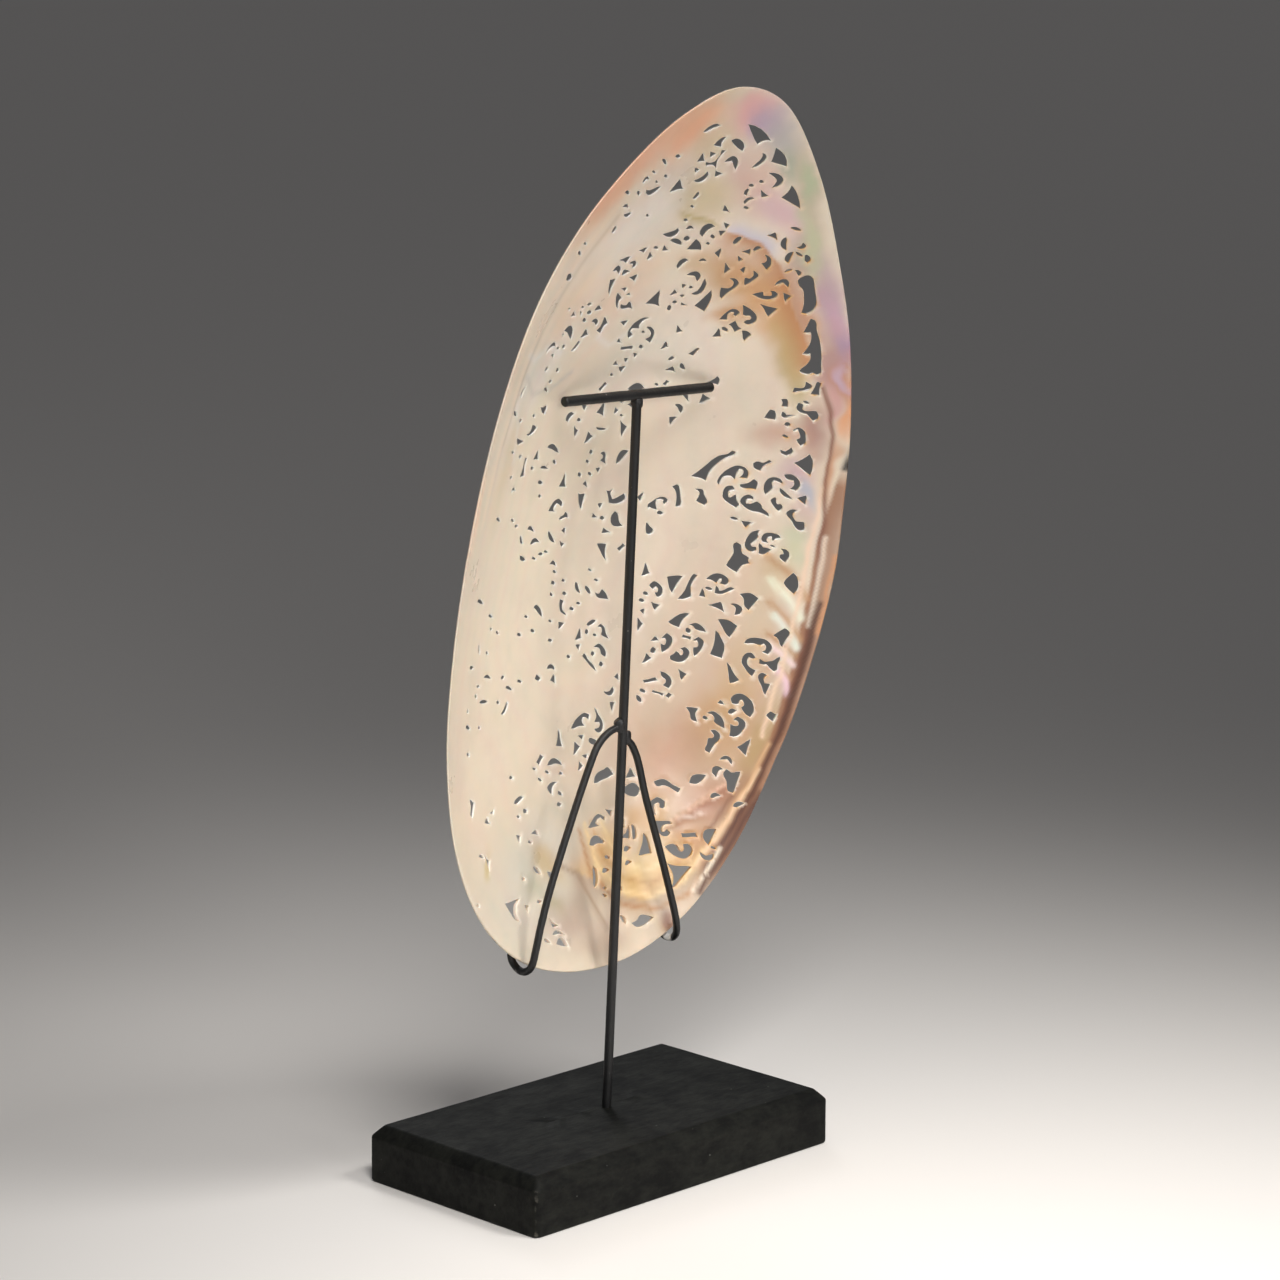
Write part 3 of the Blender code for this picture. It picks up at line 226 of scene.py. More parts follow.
crescents = [
    (-10.5, 266, -8, 267.6, -4.7, 268.1, 1), (3.8, 262.6, 7.2, 261.5, 9.6, 259.2, 2.1),
    (-4, 249.6, -0.6, 250.3, 0.2, 252.6, 1.3), (10.4, 252.9, 8.2, 256.4, 5.3, 255.3, 1.5),
    (-25.7, 258.8, -24.3, 258.1, -23, 257, 0.9), (-31.1, 251.8, -30.2, 253.3, -28.5, 252.8, 0.8),
    (-26.9, 249, -24, 248, -20.3, 249.8, 1.4), (0.4, 245.8, 0, 244.6, -0.8, 243.5, 0.7),
    (16, 253.2, 18.3, 256.3, 17.4, 258.4, 1), (22.1, 252, 26.4, 250.2, 25.4, 247, 1.5),
    (19.3, 241.5, 19.7, 243, 21.4, 243.6, 0.8), (18.3, 246.6, 18, 245.4, 18.5, 244.4, 0.7),
    (-7.1, 232.3, -2.6, 232.1, -1.3, 233.9, 1.7), (2.4, 233.2, 3.6, 233.9, 4.9, 233.4, 0.8),
    (9.9, 230.5, 9.9, 233.2, 12.8, 234, 2.2), (21.8, 228, 22.2, 229.4, 22.9, 230.7, 1.2),
    (2.8, 228.2, 0.8, 229.3, -2.5, 229.9, 1.4), (-18.4, 224, -15.6, 223.8, -16, 222, 1.1),
    (-26.2, 222.6, -23.8, 223.2, -22.5, 221.2, 1.6), (10.7, 217.5, 14.2, 217.7, 15, 215.4, 1.5),
    (17.7, 216.3, 17.7, 212.2, 15.2, 211.1, 1.2), (8.5, 222.7, 6.3, 222, 5.7, 219.9, 1.5),
    (13.1, 222.1, 14.1, 222.6, 15, 222.2, 0.7), (-26.9, 206.2, -24.6, 206, -24, 204.6, 1.2),
    (36, 234.6, 37.4, 234.5, 38.7, 234.2, 0.9), (36, 231.4, 35.8, 229.4, 37.2, 227.3, 1.1),
    (40, 228.4, 41.4, 228.7, 41.2, 230.1, 0.9), (40.3, 227, 41.6, 226.1, 42.2, 226, 0.7),
    (39.6, 226.9, 38.8, 225, 39.4, 223.2, 1.5), (43.3, 226.2, 44, 225.2, 44.2, 223.8, 1.1),
    (28.6, 226, 29.2, 227.2, 30.2, 227.3, 0.9), (38.7, 215, 40.5, 217, 42.3, 215, 1.4),
    (39.6, 219.8, 40.4, 220.7, 41.4, 221, 0.8), (42.2, 220.8, 43.4, 220.4, 43.6, 219.2, 0.8),
    (29.1, 200.1, 29.8, 199.7, 30.5, 199, 1), (-54.4, 233.6, -53.4, 233.2, -52.4, 232.3, 1),
    (-52.9, 236, -52, 235.9, -51.2, 235.4, 0.7), (-42.6, 206.1, -38.8, 205.6, -36.2, 202, 2.3),
    (-51, 200.2, -48, 202.6, -45, 201.6, 1.4), (-33.2, 197.5, -31, 199, -30.2, 200.6, 0.9),
    (-61.6, 189.6, -61.8, 191.2, -60, 192.8, 1.2), (-39.4, 250.2, -38, 249.9, -36.6, 249.1, 1),
    (-31.8, 249.2, -31, 248.8, -30.2, 247.9, 0.9), (-36.8, 245, -35.2, 245.2, -33.6, 244.4, 0.9),
    (-33.9, 242.1, -32, 241.7, -30.4, 242.4, 1), (56.8, 160.9, 58.4, 159.9, 59.4, 162, 1.2),
    (59.3, 148.3, 60.7, 146.4, 62.6, 145.2, 1), (23.4, 173.4, 25, 173, 25.6, 171, 1.1),
    (-4.9, 167.8, -3.2, 167.1, -0.2, 166.8, 0.7), (20.9, 187.6, 21.4, 186.5, 22.4, 185.6, 0.9),
    (-19.4, 174.8, -21.6, 174.2, -21.6, 172.4, 1.6), (-29.8, 165.7, -26.2, 165.1, -22.4, 162.5, 1.5),
    (-31.4, 159.5, -29.2, 159.2, -26.6, 158.3, 0.8), (-65, 186, -63.6, 185.2, -62, 183.9, 1.1),
    (-43.5, 187.7, -42.2, 187.2, -40.8, 186.1, 0.9), (-58.4, 171.7, -57.5, 171.4, -56.4, 170.8, 0.9),
    (52, 108.9, 54.1, 108, 53.3, 105.3, 1.2), (-31.9, 140, -30.3, 140.1, -27.6, 138.3, 1.1),
    (-28.3, 134.3, -26.3, 135.2, -23.2, 134.1, 1.2), (-14.3, 132, -16.6, 134.1, -18.2, 136.3, 1.2),
    (-0.1, 116.9, 0.4, 114.9, 1.9, 113.1, 0.9), (4.3, 114.8, 5.3, 113.8, 6.5, 112.1, 1),
    (-20.9, 112.7, -18.7, 112, -16.4, 108.9, 1.4), (6.4, 102.1, 8, 102.8, 9.9, 103.4, 1),
    (-34.3, 132.2, -32.6, 131, -30.5, 130.2, 1.3), (-66.5, 128.5, -63.8, 127.4, -60.2, 125.4, 1.1),
    (-59.9, 112.8, -58.9, 111, -58, 109.2, 0.9), (-66, 108, -64.4, 107.3, -62.4, 106.6, 1.1),
    (-52, 100, -49.4, 99.4, -46.6, 97.9, 0.9), (52.9, 74.1, 53.6, 75.2, 54.6, 75.6, 0.8),
    (50.2, 59.6, 52.3, 60.5, 53.1, 58.6, 1.0), (50.5, 57.1, 48.8, 56.8, 48.4, 54.5, 1.1),
    (-11.8, 91.8, -10, 92.2, -8.6, 91, 1.2), (15, 80.3, 17.3, 79.5, 18.5, 81.5, 1.1),
    (-12.7, 62.9, -9.3, 63.6, -5.9, 61.7, 1.4), (-31.5, 56.1, -29.6, 56.7, -26.9, 57.1, 1.1),
    (-65, 89.6, -63.2, 88.8, -61.2, 87.6, 1.1), (-54.3, 93.2, -51.4, 92.4, -48, 91.3, 1),
    (-35.3, 91.7, -33.6, 91.2, -31.4, 89.9, 0.9), (16.3, 33.2, 17.3, 34, 18.6, 34.3, 1.1),
    (15.9, 29.3, 16.8, 30.1, 18, 30.3, 0.8), (6.3, 28.5, 7.3, 29.2, 8.6, 29.2, 1),
    (-19.5, 15.6, -17.3, 16.1, -14.6, 14.7, 0.9), (-24.6, 36.2, -23.6, 35.2, -22, 33.6, 1.2),
    (41.9, 31.8, 43.6, 30, 45.6, 31.4, 1.3), (10.4, 15.6, 11.4, 14.8, 11.9, 13.2, 1.2),
    (20.9, 40.6, 21.2, 38.4, 20.4, 36, 1.1), (-23.9, 15.4, -23, 14.9, -21.8, 14, 0.9),
    (2.8, 31.2, 2.8, 28, 1.8, 24.9, 1.3), (-60.4, 151.6, -58.6, 151, -56.4, 149.6, 0.9),
    (-50.8, 156.6, -49.6, 157.6, -47.8, 156.6, 0.9), (-46.4, 147, -45.2, 146.6, -43.8, 145.6, 0.8),
    (-36.6, 139.4, -35.6, 137.6, -34.2, 136.2, 0.9), (-53.4, 119.6, -51.8, 118.8, -49.8, 117.8, 0.8),
    (-45.6, 112, -44.6, 111.4, -43.2, 110.6, 0.8), (-38, 84.4, -35.6, 85.2, -34.2, 87.4, 1),
    (-55, 47.9, -53.4, 47.4, -51.8, 46.2, 0.9), (53, 45.6, 54, 46.6, 55.6, 47.2, 0.9),
    (46.8, 47.8, 47.8, 49, 49.2, 49, 0.9),
]
slots = [
    (-7, 182.9, -9.2, 180.8, 1), (17.5, 180.3, 18.2, 181.7, 0.8), (31.3, 201.9, 33.6, 199.6, 2),
    (-5.1, 194, -0.1, 193.9, 1), (17.6, 127, 15.8, 125.5, 0.9), (39.8, 97.5, 42, 97, 1.1),
    (29.2, 82.5, 32.8, 83.5, 0.9), (32.1, 79.5, 34.8, 78.7, 0.8), (36.2, 77.9, 37.1, 79, 0.7),
    (-17.8, 64.6, -15.5, 66.5, 1.1), (37.2, 36.5, 41.3, 36.9, 1.2), (11, 23.6, 12.6, 23.2, 1.3),
    (17.6, 42.4, 17.2, 40, 1),
]
dots = [
    (0.2, 236.5, 1.3, 0.7, 0), (4.2, 230.1, 1.9, 1.4, 0), (13.9, 230.4, 1.5, 0.9, -40),
    (13.3, 228.1, 0.8, 0.7, 0), (-7.9, 228, 1.5, 0.7, 0), (-18.2, 259.1, 1.8, 0.9, -5),
    (-19.8, 252.8, 1.3, 0.8, -20), (-23.4, 251.4, 1, 0.6, -30), (-27.6, 255.1, 1.4, 0.6, -15),
    (21.2, 249.1, 0.9, 0.9, 0), (18.6, 247.7, 1.1, 0.9, 0), (20.4, 240.3, 1.2, 0.8, -20),
    (0.3, 241, 0.8, 0.6, 0), (10.3, 208.4, 1.2, 0.8, 10), (9.1, 206.5, 1.7, 0.9, 100),
    (2.4, 198.8, 0.8, 0.7, 0), (3.8, 193.7, 1.3, 1, -50), (-36.1, 212.5, 1.3, 0.7, -10),
    (-32.6, 212.9, 1.9, 0.8, 0), (-30.8, 209.9, 2, 1.1, 0), (-32, 207.6, 1.7, 1.1, -30),
    (-39.2, 200.3, 1.5, 1.2, -20), (-42.8, 200.6, 1.4, 0.8, -30), (-42.6, 204.9, 1.1, 0.7, -40),
    (-46.4, 194.6, 1.8, 1.6, 0), (-38.1, 192.5, 1.6, 1.2, -30), (-40.8, 189.4, 1.7, 1, -10),
    (-36.2, 237.7, 2, 1.3, 60), (56.3, 169.6, 1.4, 0.9, 80), (56.7, 165.6, 1.1, 0.8, -30),
    (59.1, 177.5, 1.2, 0.8, -30), (-5.5, 185.4, 1, 0.7, -40), (14.8, 180.5, 1, 0.6, -60),
    (-15.5, 172, 1.3, 1, -20), (-4.7, 159.8, 1.3, 0.9, 80), (-23.3, 159.7, 1.5, 0.9, -50),
    (-5.4, 156.8, 1, 0.8, -40), (-29.4, 154.4, 2.5, 1.1, -20), (-7.8, 152.8, 1.4, 0.9, -60),
    (-2.7, 152.3, 1.4, 0.8, -40), (-27.9, 149.7, 1.2, 0.9, -20), (5.1, 170.6, 0.8, 0.6, 0),
    (-57, 181.1, 2.1, 1.2, -25), (-46, 179.7, 1.8, 0.9, -30), (-49.5, 167.8, 1.8, 1.2, -10),
    (-37.7, 161, 1.6, 1, -30), (-53.8, 162.5, 1.8, 0.8, -20), (-41.2, 143.6, 1.9, 1, -15),
    (27.8, 137.3, 1.4, 1.1, 10), (49.2, 136.9, 1.6, 0.9, -10), (60.6, 129, 0.7, 0.6, 0),
    (45.6, 113.4, 1.4, 0.9, 0), (27.1, 111, 1.2, 1, -40), (26, 108.8, 1.3, 1, 0),
    (41, 99.5, 1.5, 0.9, 90), (7.1, 136.6, 1.2, 1.1, 0), (-24.9, 129.2, 1.6, 0.7, -25),
    (-21.1, 129.7, 2, 0.8, -5), (-18.2, 129.8, 1.5, 0.6, -10), (-11.7, 122.1, 1.2, 0.7, -40),
    (-11.8, 118.6, 1.3, 1.1, -50), (-6.6, 118.4, 1, 0.8, 0), (-12, 115, 1.2, 0.7, -60),
    (-5.4, 114.1, 1.2, 1, 0), (5.3, 120, 1, 0.6, -30), (8.6, 116.3, 1.1, 0.6, -10),
    (1.6, 109.9, 1.2, 0.7, -10), (-1.3, 108.6, 1.5, 0.9, -15), (-25.4, 111, 1.4, 0.7, -20),
    (-28.7, 106.2, 2, 0.9, -20), (-20.8, 105.5, 1.6, 0.9, -25), (-11.6, 106.6, 1, 0.7, -30),
    (-11, 100.5, 1.3, 0.8, 0), (6.4, 100.2, 1.4, 0.9, 80), (10, 98.7, 1, 0.7, 0),
    (-37.9, 95.6, 1.8, 1.1, 0), (31.2, 92.7, 1.8, 1, 75), (28.8, 79.7, 1.4, 1, -30),
    (27.7, 77.2, 2.2, 1, -65), (46.6, 72.3, 1, 0.7, 70), (-1.6, 93.7, 1.1, 0.9, 0),
    (9.5, 92.9, 1.3, 0.8, 80), (13.3, 89.1, 1.4, 1, 80), (-26.9, 91.4, 1.9, 0.8, -20),
    (-8.1, 53.9, 1.4, 1, -40), (-9.1, 50.9, 1.5, 0.9, 10), (-26.2, 52.7, 1.3, 1.2, 0),
    (-17.3, 59.8, 1.4, 0.7, -40), (-19.8, 63.5, 0.9, 0.6, 0), (-13.4, 61.2, 1.2, 0.8, -20),
    (-40.4, 88.7, 1.6, 0.9, -25), (-32.6, 64.1, 1.4, 0.9, -10), (-53.6, 85.3, 1.8, 0.8, -30),
    (-62, 80.2, 2.2, 0.9, -40), (-64.2, 94, 1.8, 0.8, -50), (-25.2, 43.5, 1.2, 0.8, -20),
    (9, 32.6, 1.6, 0.9, 0), (6, 24.3, 1, 0.7, 50), (5.3, 22.3, 1.2, 0.8, -10), (9.4, 15.8, 0.9, 0.7, 0),
    (-57.4, 34.5, 1.6, 0.8, -50), (-30.5, 34.2, 1.2, 1, -50), (-24, 26.2, 1.6, 0.8, 0),
    (-22.6, 23, 1.8, 0.9, 0), (45.8, 33.2, 0.9, 0.7, 20), (-51.3, 107.3, 2.2, 0.8, -40),
    (-50, 114.2, 1.8, 0.8, -30), (-56.5, 98.8, 2, 0.8, -20), (-57.8, 96.2, 2, 0.9, -40),
    (-30, 52, 1, 0.8, 0), (14, 213.3, 0.8, 0.7, 0), (16.8, 189.2, 1.6, 0.7, 45), (-20, 240, 1, 0.7, 0),
    (-45, 213.6, 1.2, 0.7, 0), (3.3, 175.4, 1, 0.7, -20),
]
scrolls = [
    (1.8, 259.4, 3.6, 259.2, 2.6, 257.3, 2.3, 255.8, 3.3, 253.2, 1.6, 254.4, -0.2, 254.6, -1.6, 254.4,
     -2.4, 255.6, 0.9, 255.5, 1.8, 256.8, 2.2, 257.9),
    (-18.1, 214.4, -15.3, 212.4, -16.1, 211.3, -15.1, 208.7, -16.9, 210.8, -18, 212.9),
    (-13.6, 209.9, -12.8, 209.5, -11.4, 209.1, -10.4, 209.2, -10, 210.1, -9.4, 210, -8.3, 208.8,
     -7.4, 207.6, -9.3, 208.2, -11.6, 208.2, -13.2, 208.5),
    (-20.2, 206.8, -17.7, 204.4, -19.2, 203.6, -19.8, 201.4, -21.8, 202.3, -20.4, 203.6),
    (2.9, 203.4, 0.2, 203.6, -2.2, 202.6, -4.1, 200.8, -4.4, 199.2, -3.9, 198, -3, 197.2, -1.7, 198.2,
     -2.7, 198.9, -3.5, 199.4, -3.2, 200.3, 0.3, 200, -0.3, 201.2, 0.8, 202.6),
    (3.2, 200.3, 4.9, 200.2, 6.4, 199.1, 7, 197.3, 6.7, 195, 4.7, 196.1, 6.3, 196.8, 6.2, 197.9,
     5.2, 199), (-20, 222.1, -18.6, 221.8, -16.9, 221.4, -18.6, 220.9, -20.1, 220.4),
    (23.9, 192.6, 24.4, 192.9, 23.8, 191.6, 23.3, 190.4, 22, 190.8, 22.9, 191.4),
    (32.2, 225.2, 33.4, 224.8, 34.4, 223.2, 34.8, 221.7, 34.3, 220.4, 33.6, 221.3, 32.4, 222.2,
     33.4, 222.5, 33.6, 223.4, 33.2, 224.3),
    (31.2, 219.6, 32.4, 218.8, 32.7, 217.8, 31.9, 216.5, 30.3, 214.5, 29.7, 217.1, 31.2, 216.9,
     31.8, 217.9),
    (25.3, 216.4, 26.4, 216.7, 27.7, 216, 28.1, 214.8, 27.3, 213.2, 26, 211.8, 25, 209.8, 24.3, 211.4,
     23.9, 213.4, 25.3, 213.2, 26.8, 213.5, 27.2, 214.8, 26.9, 215.6),
    (33.6, 211.8, 36.2, 212.9, 36.7, 211.7, 38, 211.6, 39.2, 211.8, 39, 212.6, 38.2, 213.3, 39.4, 213.3,
     40.3, 212.4, 39.9, 211.1, 38.6, 210.5, 36.4, 210.6),
    (44.3, 217.8, 46, 219.5, 46.9, 219.5, 47.9, 218.3, 49.6, 214.6, 51.2, 211.2, 51.4, 208.8, 50.2, 207,
     48.9, 206.9, 48.7, 209.6, 47.9, 212.2, 46.8, 214.6, 45.3, 215.8),
    (32.4, 208, 34.7, 206.9, 36.5, 205.4, 37.3, 203.7, 36.9, 202.4, 35.5, 201.7, 34.5, 202.5,
     35.2, 203.1, 36, 203.3, 36.1, 204.1, 35.2, 204.6, 33.7, 204.6, 33, 206.5),
    (27.3, 202.6, 28.4, 205, 29.6, 206.3, 30.9, 206.4, 32.2, 205.4, 31.6, 204.1, 30.8, 204.5,
     30.9, 205.2, 29.9, 205.3, 29.1, 204.4, 29.5, 202.7),
    (52.1, 205.3, 53, 205, 54.4, 201.8, 56.2, 198.6, 58, 194.2, 59.2, 190, 59.8, 187.7, 59.1, 187,
     57.9, 187.4, 57, 186.9, 55.4, 187.1, 54.7, 187.8, 56, 190.2, 56.3, 192, 55.8, 193.6, 53.8, 193.3,
     54.5, 195.9, 54.5, 198.4, 53.6, 200.7, 51.7, 200.4),
    (-56, 226.8, -54.4, 226.9, -51.6, 225.1, -52.4, 224.4, -54.3, 224.6, -55.8, 225.3),
    (57.3, 184.3, 58.6, 183.5, 58.5, 182.1, 57, 181.2, 55.9, 180.8, 55, 180.2, 55.1, 182, 56.2, 181.9,
     57.3, 182.2, 57.6, 183),
    (60.1, 184.6, 60.8, 184.6, 60.8, 182.6, 61.2, 180.5, 59.6, 180.2, 60, 182.4),
    (52.8, 177.6, 54, 178, 54.6, 175.5, 53.6, 175.3, 53.4, 176.7),
    (57.5, 177.1, 58.2, 176.8, 58.5, 175.3, 60, 174.6, 62.3, 175, 62.9, 172.6, 62.2, 171.6, 60.6, 173.4,
     58.6, 173.9, 57.4, 175.3),
    (54.2, 173.6, 54.9, 173.2, 55.4, 172.5, 56.3, 172.8, 57.7, 172.7, 56.6, 172.1, 55.2, 171.5,
     54.3, 172.2), (50.9, 173.8, 51.8, 173.7, 52.6, 170.8, 50.1, 170.8),
    (58.3, 167.8, 59.5, 168.9, 61, 168.1, 62, 165.7, 62.3, 163.8, 61.4, 162.7, 60, 164.8, 60.8, 165.4,
     60.3, 166.9, 59.5, 168.1, 58.7, 167.5),
    (44.5, 159.1, 45, 158.9, 44.6, 157.8, 42.9, 156.6, 41.4, 155.2, 40, 153.2, 39.2, 151.4, 38.9, 148.7,
     37.6, 149.3, 34.9, 149.7, 36.7, 151.6, 38.3, 153.7, 39.6, 155.6, 41.4, 157.2, 43.4, 157.9),
    (51, 155.5, 52, 156.3, 53.4, 155.9, 54.8, 157.1, 55.2, 156.6, 53.3, 154.9, 52.8, 153.4,
     51.8, 153.7),
    (42.9, 147.6, 43.2, 149.6, 44, 150.5, 46, 150.6, 46.9, 149.8, 46.8, 151.5, 47.5, 153.2, 48.7, 153,
     49.1, 151.9, 48.4, 150.4, 50, 150.5, 50, 152.1, 49, 153.8, 47, 154.3, 44.9, 153.1, 43.4, 151.2,
     42.6, 149),
    (59.5, 152.8, 61.2, 153.2, 62.6, 152.1, 63.5, 150, 62.9, 148.1, 61.7, 148.3, 62.5, 149.4,
     62.2, 151.1, 60.4, 151.4),
    (55.8, 145.7, 55.2, 148.6, 55.8, 150.9, 57, 151.6, 58.6, 151.3, 59.3, 149.9, 58.1, 150.3,
     57.1, 150.6, 56.6, 149.7, 57.1, 148.2),
    (48.9, 148.1, 51, 148.9, 52.2, 150.3, 52.8, 149.6, 52.8, 147.1, 51.6, 147.2, 49.4, 147.2),
    (46.9, 147.5, 45.4, 147.1, 44.9, 145, 45.3, 143.2, 47, 141.7, 49, 140.5, 49.5, 141.6, 48.6, 143,
     48.3, 144.7, 47.2, 143.5, 46.2, 144.1, 46, 145.6, 47.5, 146.4),
    (51.7, 145, 50.4, 144.1, 50.1, 142.4, 51.1, 141.2, 53.2, 139.8, 55.4, 139.5, 58, 138.6, 57.6, 139.7,
     55.9, 141.1, 55.3, 142.3, 54.4, 143, 52.9, 142.1, 51.5, 142.1, 51.3, 143.1, 52, 143.7, 53.1, 143.6,
     52.7, 144.7),
    (58.7, 145.1, 57.8, 144.1, 58.3, 142.8, 59.4, 141.4, 60, 140.7, 60.7, 141.8, 60.4, 143.1,
     59.5, 142.8, 58.8, 143.7),
    (64.5, 141.8, 63.3, 141.6, 62.4, 140.5, 62.8, 139.3, 64.1, 137.9, 64.9, 136.6, 66.1, 135.1,
     67, 135.4, 66.8, 138.1, 65.4, 137.9, 64, 139, 63.4, 140.2, 63.8, 141),
    (30.1, 146, 31.4, 146.8, 31.9, 145.6, 32.8, 142.8, 33.3, 140.2, 32.4, 139.4, 32.2, 142.2,
     31.4, 144.6),
    (36.9, 145.6, 38.8, 145.7, 39.3, 144.2, 40.7, 141.7, 40.1, 140.6, 38.1, 141.6, 38.5, 143.2,
     38.5, 144.5),
    (23.6, 139.9, 24.8, 141, 26.2, 142.1, 27.6, 142.5, 29.1, 142.1, 29.6, 141.2, 28.8, 140, 28.3, 140.8,
     28.3, 141.5, 27.3, 141.7, 26.1, 141.5, 26, 140.3, 26.9, 138.2, 25.2, 138.6, 24.3, 139.1,
     23.8, 138.6),
    (56.5, 133.7, 55, 132.9, 54.1, 131.1, 53.8, 129.4, 54.1, 127.5, 55.4, 126.4, 56.6, 126.9,
     56.6, 128.1, 55.6, 128.1, 55, 128.8, 55.5, 129.5, 56.1, 130.4, 56.5, 131.7, 56.2, 132.6),
    (57.4, 129.4, 58.2, 128.4, 60.2, 128, 58.8, 126.2, 57.8, 125.9, 57.6, 127.4, 57.4, 128.4),
    (59.5, 129.9, 58.2, 129.9, 57.7, 131.2, 58.3, 132.8, 60.1, 133.2, 61.7, 132.7, 62.3, 131.8,
     61, 131.1, 60.6, 130.5, 60.2, 131.9, 59.2, 131.5, 58.9, 130.7),
    (62.8, 128.3, 64.2, 128.3, 64.9, 126.4, 64.2, 124.2, 63.1, 125.6, 63.3, 126.5, 64, 126.6,
     63.6, 127.7),
    (50.8, 128.3, 51.5, 129, 52.2, 128.5, 52.9, 125.9, 54.9, 124.5, 54.8, 123.6, 55.3, 122.7,
     53.4, 121.6, 52.3, 119.4, 49.8, 121.2, 50.6, 123.4, 51.3, 125.5),
    (28.2, 113.6, 29.6, 114.8, 30.8, 114.3, 32.2, 112.6, 32, 110.4, 31, 109.8, 30.3, 111.2, 31.1, 111.2,
     31.2, 112.4, 30.2, 113.3, 29.2, 112.4),
    (41.8, 117.5, 40.3, 114.2, 40.5, 112, 40.6, 110.4, 37.4, 109.2, 39.2, 112, 40, 114.8, 41.2, 117.6),
    (44.8, 116.3, 46.3, 117.9, 48, 118.4, 49.7, 117.8, 50.6, 116.4, 49.9, 115, 48.6, 115.2, 49.1, 116.1,
     49, 116.7, 48.1, 116.8, 47.4, 115.4, 46.2, 116.1),
    (47.7, 114.4, 47.6, 111.9, 49.2, 112.1, 52.3, 114.1, 51.6, 114.3, 49.3, 112.9, 48.4, 113.1),
    (67.1, 121, 65, 117.4, 67.3, 114.5, 68.1, 116.4, 67.8, 119.4),
    (54.3, 112.4, 56.9, 113, 58.6, 111.8, 56.4, 107.7, 55.7, 109, 55.4, 110.9),
    (40.8, 105.1, 38.4, 104.4, 35.3, 101.8, 36.6, 100.9, 38.1, 100.4, 38.8, 102.6),
    (49.1, 103.7, 51.5, 103.8, 53.8, 102.3, 52, 98.4, 51, 100.2),
    (41.4, 101.3, 43.4, 101.9, 44.6, 101.2, 45.7, 99.5, 43.3, 99.9, 42.5, 100.9),
    (66.1, 103.1, 63.7, 100.2, 65, 99.2, 65.6, 97, 66.2, 99.5, 66.8, 102.2),
    (33.7, 96.5, 35.2, 98.2, 36.5, 97.1, 36.7, 95.2, 35.9, 93.5, 34.1, 91.9, 33.6, 94.7, 34.9, 94.3,
     35.2, 95.5, 34.8, 96.5),
    (42.8, 96.2, 44.3, 97.5, 45.5, 96.4, 45.2, 94.2, 44.5, 92.8, 43.3, 91.3, 43.1, 94, 44.2, 94.3,
     44.4, 95.4, 44, 96.3), (48.7, 100.1, 49.8, 98, 50.8, 95.6, 50.3, 91.6, 47.7, 92.3, 48.6, 95.6),
    (56.5, 96.7, 57, 98, 58.4, 98.8, 60.2, 98.9, 62, 98.5, 63, 97.2, 63, 95.4, 62.4, 94.1, 61.1, 94.6,
     61.9, 95.2, 62, 96.6, 61.3, 97.3, 60.2, 96.7, 58.6, 97.1),
    (59.3, 92.5, 58.4, 94, 57.2, 93.7, 56.3, 92.4, 56.1, 90.6, 56.9, 89, 58.2, 87.1, 58.7, 86.7,
     59.4, 88.6, 58.4, 89.2, 57.4, 90.1, 57.2, 91.6, 57.7, 92.7, 58.6, 92.2),
    (60.6, 92.4, 60.6, 90.7, 62.3, 90.8, 63.8, 89, 64.5, 89.8, 64.7, 91.4, 65.4, 93.8, 64.2, 92.3,
     63, 91.8, 61.8, 91.6),
    (62.3, 87.6, 61.4, 88, 60.5, 87, 60.7, 85.4, 61.5, 83.6, 62.1, 81.2, 63.2, 84.8, 62, 84.8, 61.5, 86,
     61.7, 86.8), (52.2, 90.3, 53.6, 87.2, 55.1, 85.2, 53.1, 83.7, 52.8, 86.8),
    (36.7, 90.9, 37, 89.6, 39.5, 89.4, 41.1, 90.8, 41.5, 92.7, 40.8, 94, 39.5, 93.5, 40.3, 92.6,
     40.2, 91.5, 39.6, 91.3, 38.3, 92.6, 37.8, 91.7),
    (34.2, 85.8, 35.6, 85.4, 36.8, 83.9, 37, 82.2, 36.3, 80.8, 35.1, 81.5, 35.9, 82.3, 35.8, 83.4,
     34.8, 84.1), (41.8, 75, 44.5, 75.1, 43.7, 73.4, 44.2, 70.9, 43.2, 71.2, 42.8, 73.2),
    (53.9, 77.4, 53.6, 79, 54.8, 80.4, 56.4, 80.7, 57.9, 79.7, 58.9, 78, 59.1, 75.6, 58.2, 73.8,
     57.2, 74.7, 56.3, 76.4, 57, 77.2, 56.6, 78.7, 55.6, 78.9, 55, 77.6),
    (47.3, 73.7, 49, 74.4, 50.4, 73.3, 51.2, 71.4, 51.3, 69.6, 49.2, 71.2, 49.3, 72.3, 48.7, 73.3),
    (54.2, 72.4, 55.4, 73.5, 56.5, 72.6, 56.8, 71, 56, 69.4, 54.6, 67.7, 53.1, 67.2, 53.4, 69.2,
     53.4, 70.9, 54.6, 70.4, 55.5, 70.7, 55.5, 71.8, 54.8, 72.3),
    (48.2, 68.4, 49.3, 68.7, 50.1, 67.4, 49.7, 65.8, 48.5, 64.4, 47.1, 61.7, 46.5, 62.2, 47.2, 64.2,
     47.6, 65.9, 48.7, 66.1, 49.1, 66.8, 48.8, 67.6), (63.8, 76.1, 62.8, 74.7, 63.9, 73.2, 64.9, 75.4),
    (50.9, 55.4, 51.9, 56.9, 53.2, 56, 55.1, 56.7, 53.9, 53.4, 52.7, 50.1, 51.8, 50.3, 51.6, 53.2),
    (41.4, 52, 42.6, 54.2, 45.7, 54.9, 44.9, 53.6, 43, 52.1),
